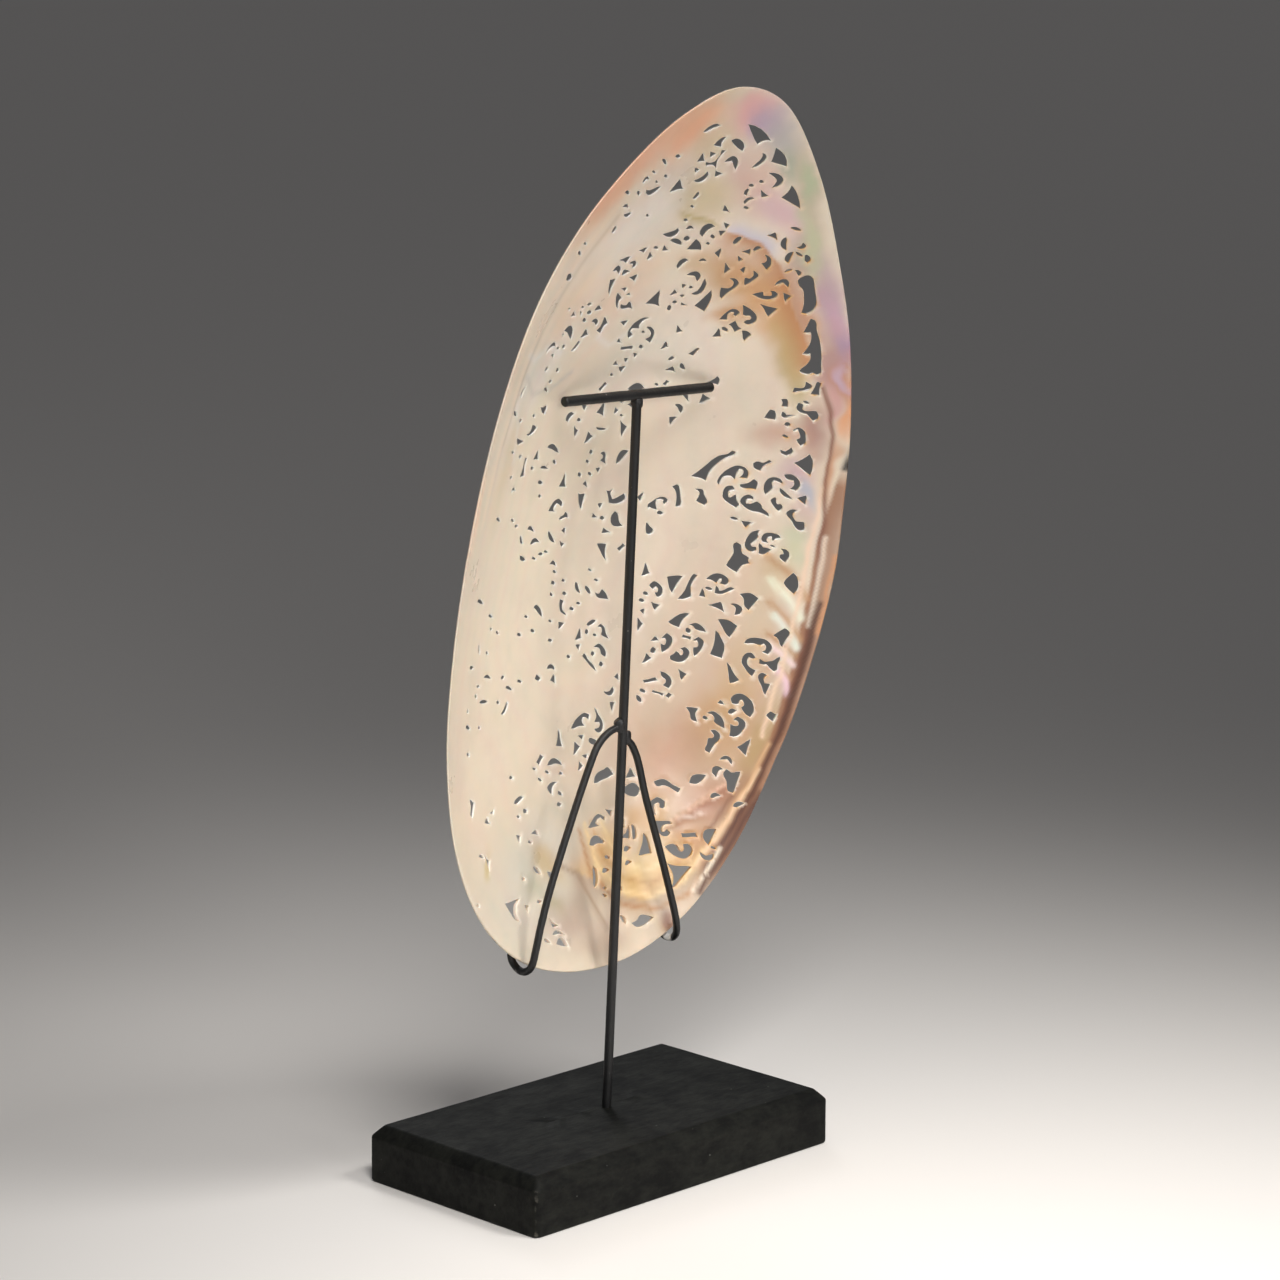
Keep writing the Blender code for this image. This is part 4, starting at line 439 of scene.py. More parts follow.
    (31, 52, 32.8, 52.6, 34.6, 52.7, 36.4, 51.4, 38.3, 50.4, 37.4, 49.2, 35.2, 50.6, 33, 51.2,
     31.6, 50.8),
    (12.2, 138.2, 11.1, 136.6, 11.7, 134.2, 12.9, 133.3, 15.7, 133.4, 14.1, 134.9, 13.5, 136.4,
     12.9, 137.7),
    (-13.5, 139.1, -12.6, 139.8, -11.2, 140.1, -10.6, 141, -10, 140.5, -9.3, 139.1, -10.6, 139.4,
     -12.2, 139.3),
    (-4.1, 107.1, -6.2, 108.4, -7, 110.2, -6.9, 112.4, -5.7, 111.9, -6.2, 110.6, -5.9, 109.2,
     -4, 107.4), (8.9, 112.3, 10.6, 111.5, 11.7, 113, 13, 111.6, 14.1, 109.7, 12.2, 110, 10.2, 110.5),
    (11.3, 101.1, 12.5, 101.8, 13.5, 100.8, 14.2, 99, 15.5, 97, 13, 98.3, 13.2, 99.9, 12.6, 100.8),
    (10.1, 94.8, 12.3, 95.6, 13.9, 94.2, 14.8, 92.4, 14.6, 91.3, 13.3, 92.3, 12.8, 93.7, 11.8, 94.5),
    (5.3, 92.6, 6, 93.5, 7.4, 91.5, 9.8, 89.4, 11.1, 87.3, 9.2, 88.9, 7, 91),
    (-17.8, 90, -16.9, 91.1, -15.4, 89.8, -16.6, 89.2),
    (0, 71.2, 1.9, 73.1, 4.2, 74.3, 6.6, 74.8, 8.2, 74.3, 7.9, 72.9, 7, 73.5, 5.3, 73.9, 4.9, 72.9,
     5.9, 71.2, 2.9, 71.5),
    (11, 75.9, 12.3, 73.7, 13.5, 72.1, 14.1, 70, 13, 68.3, 11.7, 68.3, 10.9, 69.3, 12.4, 69.3, 13.3, 70,
     13.1, 71.1, 11, 71.4, 11.9, 72.8), (8.1, 66.6, 9, 66.9, 11.1, 66, 10, 64.7, 8.2, 65.8),
    (-6.5, 72.6, -6, 69.2, -5.4, 67.2, -7.8, 67.7, -6.9, 69.6),
    (-13.6, 56.6, -12.4, 57.4, -9.3, 57.6, -11.6, 56.7, -12.3, 54.5, -13.1, 55.4),
    (8.6, 53.6, 9.1, 55.2, 11, 56.4, 13.4, 56.9, 15.1, 57.5, 16.5, 55.4, 14.4, 54.7, 11.4, 54.3),
    (19.3, 50.5, 21.6, 51.4, 24.4, 51.9, 25.7, 50.4, 24.2, 48.5, 21.2, 48.7),
    (-60.4, 66.4, -57.3, 64.2, -57.9, 62.4, -58.8, 60.4, -59.8, 61.6, -59.3, 63.6),
    (-50, 56, -48.6, 57.4, -48, 56.1, -46.6, 54.7, -48.6, 55.3),
    (28.1, 45.9, 29.6, 46.7, 31.6, 47.5, 33.2, 46.6, 32.7, 44.7, 31.6, 44.5, 31.7, 45.7, 30.9, 46.1,
     29.7, 45.5, 29.6, 42.7, 28.5, 42.8, 28.6, 44.4),
    (28.8, 40.8, 31.2, 40.7, 34.3, 40.6, 34.5, 39.7, 32.1, 39.6, 31.1, 38.4, 31.4, 37.5, 32.2, 37.6,
     33, 38.3, 33.8, 37.4, 32.8, 36.5, 31.2, 36.4, 30.1, 37.3, 29.3, 39),
    (43.5, 35.8, 44.1, 37.9, 45.4, 38.6, 47.3, 38.7, 46, 36.4, 44.6, 33.9),
    (31.2, 33.4, 33, 34, 34.8, 33.9, 35.4, 32.5, 36.4, 31.8, 37.2, 32.3, 37.1, 33.9, 38.9, 34,
     39.3, 32.6, 38.6, 31.1, 37.2, 30.1, 35.6, 30, 33.5, 30.9, 32.1, 32.2),
    (31, 28.6, 34, 27.7, 38.3, 27.6, 35.2, 24.8, 31.2, 21.1, 32.4, 24.2, 32.3, 26),
    (21.5, 31.5, 23.6, 34.8, 24.6, 37.7, 25.4, 36.2, 25.8, 32, 23.4, 31.9),
    (3.2, 41.7, 5.2, 43.3, 6.8, 44.4, 8.8, 44.8, 10.4, 44, 10, 42.9, 9, 43.8, 7.4, 43.8, 6.4, 42.9,
     7.7, 41.8, 5.4, 41.8),
    (2.6, 36.9, 3.6, 38.4, 5.4, 39.1, 7.2, 38.8, 8.7, 37.3, 8, 36.8, 5.6, 37.1, 3.9, 36.8),
    (15.3, 37.7, 17.6, 37.9, 19, 39.1, 19.8, 40.4, 20, 38.8, 19.3, 36.5, 17.4, 36.9, 15.3, 36.9),
    (14.7, 12.9, 17, 13.5, 18.4, 14.7, 21, 14.5, 22.9, 13.9, 21, 12.7, 18.4, 11.9, 16, 11.8),
    (-18.4, 12.8, -16.9, 14.2, -15.6, 14, -13.9, 11.3, -16, 11.8),
    (-41.5, 30.1, -39.2, 29.7, -33.7, 29.5, -35.7, 28.1, -36.3, 25.8, -34.9, 23.1, -37, 24.3,
     -39.4, 27.3), (11.5, 158.5, 9.5, 158.5, 8.4, 157.2, 8.2, 154.2, 9.8, 156),
    (0.4, 158.6, 1.8, 158.9, 2.6, 157.6, 2.7, 156.5, 3.4, 154.9, 1, 156.2, 1.9, 156.5, 1.9, 157.5,
     1.3, 158),
    (-20.3, 143.2, -18.8, 145.2, -17, 146.1, -15.1, 145.9, -13.9, 144.7, -14, 143.6, -15.6, 144.6,
     -17, 145, -18, 144.3, -18.1, 143.4, -16.9, 142.4, -18.6, 142.8),
    (-5.9, 146.4, -5, 145.8, -3.1, 145.9, -3.2, 143.9, -3.4, 140.9, -4.1, 142, -5.1, 144),
    (7, 145.5, 8.3, 145.2, 9.3, 145.8, 8.8, 144.6, 9.5, 143.3, 10.2, 142.3, 12.4, 143, 14.3, 143.9,
     14.9, 142.2, 13.6, 141.1, 9.1, 141.3, 8.5, 142.8),
    (4.6, 179.4, 6.2, 180.7, 8.6, 181, 10.6, 179.6, 8.8, 178.6, 6.6, 178.5),
    (-42.4, 181.7, -40.3, 180.9, -38.7, 181.3, -38.1, 180.4, -38.4, 178.4, -40.2, 179.4),
    (-48.3, 174.5, -46.3, 174.3, -45.3, 175.3, -45.3, 176.4, -43.4, 176, -41.5, 174.9, -42.5, 173.9,
     -44.6, 173.5, -46.8, 173.6),
    (-44.9, 165.8, -43.5, 165.9, -43.7, 163.5, -42.7, 160, -45.8, 160.2, -44.9, 162.3),
    (24.2, 134.1, 25.2, 133, 26.4, 131.9, 26.1, 130.6, 25, 130.3, 24.5, 131.6),
]


bowl = {
    "lean": 12.0,           # the rim's plane leans this many degrees towards -Y
    "foot": (0.0, 1.0, 60.0),
    "centre": (6.0, 130.0),
    "depth": 37.0,
    "swell": 4.0,
    "thin": 1.35,
    "hingeExtra": 0.75,
    "footExtra": 1.2,
    "rimSteps": 24,
    "grid": 1.3,            # spacing of the net of points, and of the finer nets on fineLines
    "fineGrid": 0.68,
    "cutEdge": 0.14,        # rounding of the cut edges
    "carving": 0.9,         # how far the outer face falls away towards the cuts
    "fineLines": [
        ([(61, 186), (67, 168), (70, 150), (71, 124), (69, 100), (66, 80), (58, 56), (54, 48)], 6.0),
        ([(14, 233), (22, 231.5), (30, 229.5), (38, 222), (46, 208.5), (54, 197), (60, 187)], 2.4),
        ([(56, 47), (50, 38), (43, 29)], 4.0),
    ],
    "cutReach": (0.55, -0.27),  # how far each cut is opened towards the hinge and the foot
}
lean = math.radians(bowl["lean"])
upPlane = np.array([0.0, -math.sin(lean), math.cos(lean)])
outPlane = np.array([0.0, math.cos(lean), math.sin(lean)])


def closedCurve(points, steps):
    # Catmull-Rom through a closed ring
    b = np.asarray(points, float)[:, None]
    a, c, d = np.roll(b, 1, axis=0), np.roll(b, -1, axis=0), np.roll(b, -2, axis=0)
    u = (np.arange(steps) / steps)[None, :, None]
    curve = 0.5 * (2 * b + (c - a) * u + (2 * a - 5 * b + 4 * c - d) * u ** 2
                   + (3 * b - a - 3 * c + d) * u ** 3)
    return curve.reshape(-1, 2)


rimLine = closedCurve(rim[::-1], bowl["rimSteps"])
rimAngle = np.arctan2(rimLine[:, 1] - bowl["centre"][1], rimLine[:, 0] - bowl["centre"][0])
rimReach = np.hypot(rimLine[:, 0] - bowl["centre"][0], rimLine[:, 1] - bowl["centre"][1])
rimOrder = np.argsort(rimAngle)


def nearLine(points, line):
    # distance from each point to a polyline, and how far along it the nearest place lies (0..1)
    line = np.asarray(line, float)
    a, b = line[:-1][None], line[1:][None]
    side = b - a
    u = np.clip(((points[:, None] - a) * side).sum(-1) / (side ** 2).sum(-1), 0, 1)
    gap = np.linalg.norm(points[:, None] - a - side * u[..., None], axis=-1)
    best = gap.argmin(axis=1)
    rows = np.arange(len(points))
    return gap[rows, best], (best + u[rows, best]) / (len(line) - 1)


def rho(points):
    # 0 at the bowl's centre, 1 at the rim, along each ray
    away = points - np.asarray(bowl["centre"])
    angle = np.arctan2(away[:, 1], away[:, 0])
    reach = np.interp(angle, rimAngle[rimOrder], rimReach[rimOrder], period=2 * np.pi)
    return np.clip(np.hypot(away[:, 0], away[:, 1]) / reach, 0, 1.02)


def plainDepth(points):
    # 37 cos(rho pi / 2) plus a low swelling 4 exp(-q) (1 - rho^4) below the hooks
    s, t = points.T
    r = rho(points)
    q = ((s - 28) / 26) ** 2 + ((t - 62) / 32) ** 2
    return bowl["depth"] * np.cos(np.pi / 2 * r) + bowl["swell"] * np.exp(-q) * (1 - r ** 4)


# low relief of the pearly face: each row is a line, its half width and its height (mm, + stands out)
relief = [
    ([(60, 184), (64.5, 175), (67.5, 166), (68.8, 150), (70.6, 136)], 1.4, 0.7),     # long hinge tooth
    ([(70.0, 136), (70.4, 120), (69.4, 102), (66.6, 85), (63, 68), (58.5, 54)], 1.2, 0.4),
    ([(62, 118), (66, 113), (70.2, 106.5)], 1.8, 0.7),                               # hinge ripples
    ([(63.5, 107), (67, 102), (70, 97)], 1.6, 0.65),
    ([(62.5, 97.5), (66, 94.5), (69.3, 91.5)], 1.3, 0.5),
    ([(64.8, 90), (67, 86), (68.2, 82)], 1.4, 0.5),
    ([(69.8, 153), (72.3, 138), (73.4, 121), (72.3, 99), (69, 82), (65, 62), (60, 49), (54, 39)],
     0.9, -0.4),                                                                     # groove
    ([(74.6, 134), (74.6, 116), (73.0, 98), (69.6, 80)], 0.9, 0.25),
    ([(-5, 31.5), (-1, 28), (4, 25)], 1.4, -0.35),
    ([(29, 35.5), (35, 38.5), (41, 40.5)], 1.3, -0.35),
    ([(36, 45), (41, 43), (46, 43.5)], 1.3, 0.2),
    ([(30, 38), (38, 44), (46, 49), (54, 56)], 1.6, 0.3),
    ([(-40, 246), (-52, 232), (-61, 216), (-67, 198), (-71, 178), (-74, 155), (-76, 120)], 2.6, 0.3),
    ([(-36, 241), (-48, 227), (-57, 212), (-63, 196), (-67, 178), (-69, 158)], 2.4, -0.3),
    ([(14, 234), (22, 232.5), (30, 230.5), (38.5, 223), (46.5, 209.5), (54.5, 198)], 2.0, 0.3),  # scar
]


def innerDepth(points):
    # the plain bowl, less each relief line height * exp(-(distance / width)^2), and soft waves
    depth = plainDepth(points)
    for line, width, height in relief:
        gap, u = nearLine(points, line)
        taper = np.sin(np.pi * np.clip(u, 0.02, 0.98)) ** 0.7
        depth = depth - height * taper * np.exp(-(gap / width) ** 2)
    waves = 0.22 * wavyNoise(points * (1, 0.55), 26, 4) + 0.07 * wavyNoise(points, 9, 5)
    return depth + waves * np.clip(1.1 - rho(points), 0, 1) ** 0.5


def wallThickness(points):
    # thicker at the hinge side and the foot, and drawn out thin over the last millimetres of
    # the free edge: (thin + hinge + foot) * (1 - 0.6 exp(-(gap to the rim / 5)^2))
    s, t = points.T
    plain = (bowl["thin"] + bowl["hingeExtra"] * np.clip((s - 10) / 60, 0, 1)
             + bowl["footExtra"] * np.exp(-((t - 12) / 30) ** 2))
    hinge = np.clip((s - 52) / 14, 0, 1) * np.clip((205 - t) / 25, 0, 1) * np.clip((t - 30) / 25, 0, 1)
    return plain * (1 - 0.6 * (1 - hinge) * np.exp(-(nearestGap(points, rimLine) / 5) ** 2))


def facing(points, depthOf):
    # unit normal towards the hollow, in (s, t, depth): (depth_s, depth_t, -1) normalised
    h = 0.6
    ds = (depthOf(points + (h, 0)) - depthOf(points - (h, 0))) / (2 * h)
    dt = (depthOf(points + (0, h)) - depthOf(points - (0, h))) / (2 * h)
    return normalised(np.column_stack([ds, dt, -np.ones(len(points))]))


def toWorld(rows):
    # foot + s X + t up the plane + depth out of it
    return (np.asarray(bowl["foot"]) + rows[:, :1] * (1.0, 0.0, 0.0)
            + rows[:, 1:2] * upPlane + rows[:, 2:3] * outPlane)


def dartRing(values, inner=4):
    # three sides, each bowed: a + (b - a) u + n * 4 swell u (1 - u)
    corners = np.array(values[:6], float).reshape(3, 2)
    turn = np.sign(signedArea(corners))
    side = np.roll(corners, -1, axis=0) - corners
    length = np.hypot(*side.T)
    swell = np.array(values[6:9], float) if len(values) > 6 else -0.045 * length
    out = turn * np.column_stack([side[:, 1], -side[:, 0]]) / length[:, None]
    u = (np.arange(inner) / inner)[None, :, None]
    ring = corners[:, None] + side[:, None] * u + (out * swell[:, None])[:, None] * 4 * u * (1 - u)
    return ring.reshape(-1, 2)


def crescentRing(values, inner=6):
    # quadratic curve tip to tip, half width w / 2 * sin(pi u)^0.6
    a, m, b = (np.array(values[i:i + 2], float) for i in (0, 2, 4))
    c = 2 * m - (a + b) / 2
    u = np.linspace(0, 1, inner + 2)[:, None]
    line = (1 - u) ** 2 * a + 2 * u * (1 - u) * c + u ** 2 * b
    along = normalised(2 * (1 - u) * (c - a) + 2 * u * (b - c))
    across = np.column_stack([-along[:, 1], along[:, 0]]) * values[6] / 2 * np.sin(np.pi * u) ** 0.6
    return np.vstack([line[:1], (line - across)[1:-1], line[-1:], (line + across)[1:-1][::-1]])


def slotRing(values, inner=5):
    # a straight saw cut, w wide at its ends and 0.64 w halfway: w (0.64 + 0.36 (2u - 1)^2) / 2
    a, b = np.array(values[:2], float), np.array(values[2:4], float)
    u = np.linspace(0, 1, inner)[:, None]
    n = np.array([-(b - a)[1], (b - a)[0]]) / np.hypot(*(b - a)) * values[4] / 2
    half = n * (0.64 + 0.36 * (2 * u - 1) ** 2)
    line = a + (b - a) * u
    return np.vstack([line - half, (line + half)[::-1]])


def dotRing(values, count=10):
    # turned ellipse
    x, y, long, wide, angle = values
    v = 2 * np.pi * (np.arange(count) + 0.5) / count
    c, s = math.cos(math.radians(angle)), math.sin(math.radians(angle))
    p = np.column_stack([np.cos(v) * long / 2, np.sin(v) * wide / 2]) * 1.03
    return np.column_stack([x + p[:, 0] * c - p[:, 1] * s, y + p[:, 0] * s + p[:, 1] * c])


def scrollRing(values, steps=3):
    # Hermite curve through the corners: tangents are shared where the turn is slight and
    # follow each side where it is sharp, so points stay points and swings stay round
    p = np.array(values, float).reshape(-1, 2)
    side = np.roll(p, -1, axis=0) - p
    length = np.hypot(*side.T)[:, None]
    way = side / length
    before = np.roll(way, 1, axis=0)
    turn = np.degrees(np.arccos(np.clip((way * before).sum(axis=1), -1, 1)))[:, None]
    shared = normalised(way + before)
    soft = np.clip((88 - turn) / 30, 0, 1)
    start = way * (1 - soft) + shared * soft
    end = np.roll(before * (1 - soft) + shared * soft, -1, axis=0)
    u = (np.arange(steps) / steps)[None, :, None]
    q = np.roll(p, -1, axis=0)
    ring = (p[:, None] * (2 * u ** 3 - 3 * u ** 2 + 1) + q[:, None] * (3 * u ** 2 - 2 * u ** 3)
            + (start * length)[:, None] * (u ** 3 - 2 * u ** 2 + u)
            + (end * length)[:, None] * (u ** 3 - u ** 2))
    return ring.reshape(-1, 2)


def outsideNormals(ring):
    # mean of the two side normals at each corner of a ring that runs anticlockwise, lengthened
    # by 1 / cos(half the turn) up to 1.5, so a shifted ring keeps its distance
    side = normalised(np.roll(ring, -1, axis=0) - ring)
    out = np.column_stack([side[:, 1], -side[:, 0]])
    mean = out + np.roll(out, 1, axis=0)
    size = np.linalg.norm(mean, axis=1, keepdims=True)
    return mean / np.maximum(size, 1e-9) * np.minimum(2 / np.maximum(size, 1e-9), 1.5)


def insideRing(points, ring):
    # even-odd count of crossings of a level ray
    x, y = points[:, :1], points[:, 1:2]
    ax, ay = ring[:, 0][None], ring[:, 1][None]
    bx, by = np.roll(ring[:, 0], -1)[None], np.roll(ring[:, 1], -1)[None]
    rise = np.where(by == ay, 1.0, by - ay)
    cross = ((ay > y) != (by > y)) & (x < (bx - ax) * (y - ay) / rise + ax)
    return cross.sum(axis=1) % 2 == 1


def nearestGap(points, others, size=800):
    # distance from each point to the nearest of the others, block by block
    gaps = [np.sqrt(((block[:, None] - others[None]) ** 2).sum(-1).min(axis=1))
            for block in np.array_split(points, max(1, len(points) // size))]
    return np.concatenate(gaps)


def denser(ring, steps=4):
    # each side cut into equal steps: a + (b - a) u
    u = (np.arange(steps) / steps)[None, :, None]
    return (ring[:, None] * (1 - u) + np.roll(ring, -1, axis=0)[:, None] * u).reshape(-1, 2)


def onLeft(p, q, r):
    # r lies on the left hand of the line from p to q: the cross product (q - p) x (r - p) > 0
    ahead, away = q - p, r - p
    return ahead[..., 0] * away[..., 1] > ahead[..., 1] * away[..., 0]


def crossesItself(ring):
    # some side has the ends of another one on both its hands, and the other way round
    a, b = ring, np.roll(ring, -1, axis=0)
    p, q, r, t = a[:, None], b[:, None], a[None], b[None]
    crossing = (onLeft(p, q, r) != onLeft(p, q, t)) & (onLeft(r, t, p) != onLeft(r, t, q))
    count = len(ring)
    apart = (np.arange(count)[:, None] - np.arange(count)[None]) % count
    return bool((crossing & (apart > 1) & (apart < count - 1)).any())


def openCuts(rings):
    # the traced rings show only what can be seen through: each one's far side moves by
    # reach * (1 + (20 - s) / 60 on the left, falling again beyond s = -25), less where it
    # would meet a neighbour or itself
    fine = [denser(r) for r in rings]
    every = np.vstack(fine)
    owner = np.repeat(np.arange(len(rings)), [len(r) for r in fine])
    opened = []
    for index, ring in enumerate(rings):
        middle = ring[:, 0].mean()
        growth = 1 + np.clip((20 - middle) / 60, 0, 0.8) - np.clip((-25 - middle) / 20, 0, 1) * 1.25
        reach = np.array(bowl["cutReach"]) * growth
        towards = outsideNormals(ring) @ (reach / np.hypot(*reach))
        push = np.clip(towards * 1.6 + 0.2, 0, 1)[:, None] * reach
        near = np.all((every > ring.min(axis=0) - 4) & (every < ring.max(axis=0) + 4), axis=1)
        others = every[near & (owner != index)]
        for share in (1.0, 0.75, 0.5, 0.3, 0.15, 0.0):
            moved = ring + push * share
            line = moved + outsideNormals(moved) * bowl["cutEdge"] * 1.3
            clear = not len(others) or nearestGap(denser(moved), others).min() > 0.55
            if clear and not crossesItself(line):
                break
        opened.append(moved)
    return opened


def staggered(low, high, across, up):
    # rows of points, up apart, every other row moved by half of across
    x, y = np.meshgrid(np.arange(low[0], high[0], across), np.arange(low[1], high[1], up))
    x = x + (np.arange(len(x)) % 2)[:, None] * across / 2
    return np.column_stack([x.ravel(), y.ravel()])


def sheetGrid(innerRim, cutLines):
    # a net of triangles with sides of one grid step, and a finer net over the hinge side and the
    # scar's edge, where relief and colour are narrow, less what is outside the rim or in a cut
    step, fineStep = bowl["grid"], bowl["fineGrid"]
    grid = staggered(rimLine.min(axis=0), rimLine.max(axis=0), step, step * math.sqrt(3) / 2)
    nets = []
    for line, reach in bowl["fineLines"]:
        fine = staggered(np.min(line, axis=0) - reach, np.max(line, axis=0) + reach, fineStep, fineStep)
        fine = fine[nearLine(fine, line)[0] < reach]
        for other, width in bowl["fineLines"]:
            if other is line:
                break
            fine = fine[nearLine(fine, other)[0] > width + 0.4]
        grid = grid[nearLine(grid, line)[0] > reach + 0.3]
        nets.append(fine)
    fineCount = sum(len(n) for n in nets)
    grid = np.vstack([grid] + nets)
    isFine = np.arange(len(grid)) >= len(grid) - fineCount
    inside = insideRing(grid, innerRim)
    grid, isFine = grid[inside], isFine[inside]
    gap = nearestGap(grid, np.vstack([innerRim] + cutLines))
    grid = grid[gap > np.where(isFine, 0.4, step * 0.45)]
    inCut = np.zeros(len(grid), bool)
    for ring in cutLines:
        box = np.all((grid > ring.min(axis=0)) & (grid < ring.max(axis=0)), axis=1)
        if box.any():
            inCut[np.flatnonzero(box)[insideRing(grid[box], ring)]] = True
    return grid[~inCut]


def buildShell(material):
    # both faces share one sheet of triangles: inner = (s, t, depth), outer = inner - normal *
    # (thickness - fall), joined by a half round at the rim and by a wall in every cut
    rings = [dartRing(v) for v in darts] + [crescentRing(v) for v in crescents]
    rings += [slotRing(v) for v in slots] + [dotRing(v) for v in dots]
    rings += [scrollRing(v) for v in scrolls]
    rings = openCuts([r if signedArea(r) > 0 else r[::-1] for r in rings])
    cutNormals = [outsideNormals(r) for r in rings]
    edge = bowl["cutEdge"]
    cutLines = [r + n * edge for r, n in zip(rings, cutNormals)]
    rimNormal = outsideNormals(rimLine)
    rimRound = wallThickness(rimLine) * 0.4
    innerRim = rimLine - rimNormal * rimRound[:, None]

    grid = sheetGrid(innerRim, cutLines)

    loops = [innerRim] + cutLines
    starts = np.cumsum([0] + [len(r) for r in loops])
    flat = np.vstack(loops + [grid])
    faces = [list(range(a, b)) for a, b in zip(starts[:-1], starts[1:])]
    found = delaunay_2d_cdt([Vector(p) for p in flat], [], faces, 1, 1e-6)
    source = np.array([v[0] if v else -1 for v in found[3]])
    kept = np.array([f for f, o in zip(found[2], found[5]) if list(o) == [0]])
    if (source < 0).any() or max(len(v) for v in found[3]) > 1:
        print("cuts touch near", [tuple(round(c, 1) for c in found[0][i])
                                  for i in np.flatnonzero(source < 0)])
    sheet = source[kept]
    used = np.unique(sheet)
    print("shell sheet:", len(flat), "points,", len(sheet), "triangles,", len(flat) - len(used), "unused")

    depth = innerDepth(flat)
    normal = facing(flat, innerDepth)
    thick = wallThickness(flat)
    inner = np.column_stack([flat, depth])
    # the outer face is rounded down towards every cut, as low carving, and is shallowly lined
    cutGap = nearestGap(flat, np.vstack(cutLines))
    fall = bowl["carving"] * np.exp(-(cutGap / 1.5) ** 2) + 0.05 * wavyNoise(flat, 5, 8)
    fall = np.minimum(fall * np.clip((1 - rho(flat)) * 12, 0, 1), thick - 0.42)
    outer = inner - normal * (thick - fall)[:, None]

    count = len(flat)
    points = [inner, outer]
    quads = []
    offset = 2 * count
    for index, loop in enumerate(loops):
        a, b = starts[index], starts[index + 1]
        n = b - a
        ids = np.arange(a, b)
        plane = rimNormal if index == 0 else -cutNormals[index - 1]
        up = normal[ids]
        # the way across the edge, laid on the surface: plane normal lifted by the slope
        slope = -(plane[:, 0] * up[:, 0] + plane[:, 1] * up[:, 1]) / up[:, 2]
        size = np.linalg.norm(plane, axis=1, keepdims=True)
        across = normalised(np.column_stack([plane, slope])) * size
        base, deep = inner[ids], (inner[ids] - outer[ids])
        wall = np.linalg.norm(deep, axis=1)
        if index == 0:
            phi = np.linspace(0, np.pi, 9)[1:-1]
            shape = [(rimRound * np.sin(p), wall * (1 - np.cos(p)) / 2) for p in phi]
        else:
            k = np.full(n, edge)
            shape = [(0.7 * k, 0.3 * k), (k, k), (k, wall - k), (0.7 * k, wall - 0.3 * k)]
        ringIds = [ids]
        for aside, down in shape:
            points.append(base + across * aside[:, None] - up * down[:, None])
            ringIds.append(np.arange(offset, offset + n))
            offset += n
        ringIds.append(ids + count)
        for upper, lower in zip(ringIds[:-1], ringIds[1:]):
            quad = np.column_stack([upper, np.roll(upper, -1), np.roll(lower, -1), lower])
            quads.append(quad if index == 0 else quad[:, ::-1])
    rows = np.vstack(points)
    # s turned towards t points into the hollow, so the inner triangles keep their turn and the
    # outer ones are reversed
    faces = sheet.tolist() + (sheet[:, ::-1] + count).tolist() + np.vstack(quads)[:, ::-1].tolist()
    keep = np.zeros(len(rows), bool)
    keep[np.unique(np.concatenate([np.ravel(f) for f in faces]))] = True
    number = np.cumsum(keep) - 1
    faces = [[int(number[i]) for i in f] for f in faces]
    shell = makeMesh("pearl_shell", toWorld(rows[keep]), faces, material, sharp=50)
    flatOf = np.vstack([flat, flat] + [flat[starts[i]:starts[i + 1]]
                                       for i in range(len(loops)) for _ in range(7 if i == 0 else 4)])
    # cut edges on the pearly face that face the hinge and the foot get a level up to 0.05, which paintShell
    # turns into a painted highlight
    front = np.zeros(count)
    far = np.array(bowl["cutReach"]) / np.hypot(*bowl["cutReach"])
    front[starts[1]:starts[-1]] = 0.05 * np.clip(np.vstack(cutNormals) @ far + 0.15, 0, 1)
    level = np.concatenate([front, np.ones(count)]
                           + [np.full(starts[i + 1] - starts[i], k) for i in range(len(loops))
                              for k in (np.linspace(0, 1, 9)[1:-1] if i == 0 else (2.1, 2.3, 2.7, 2.9))])
    return shell, flatOf[keep], level[keep]


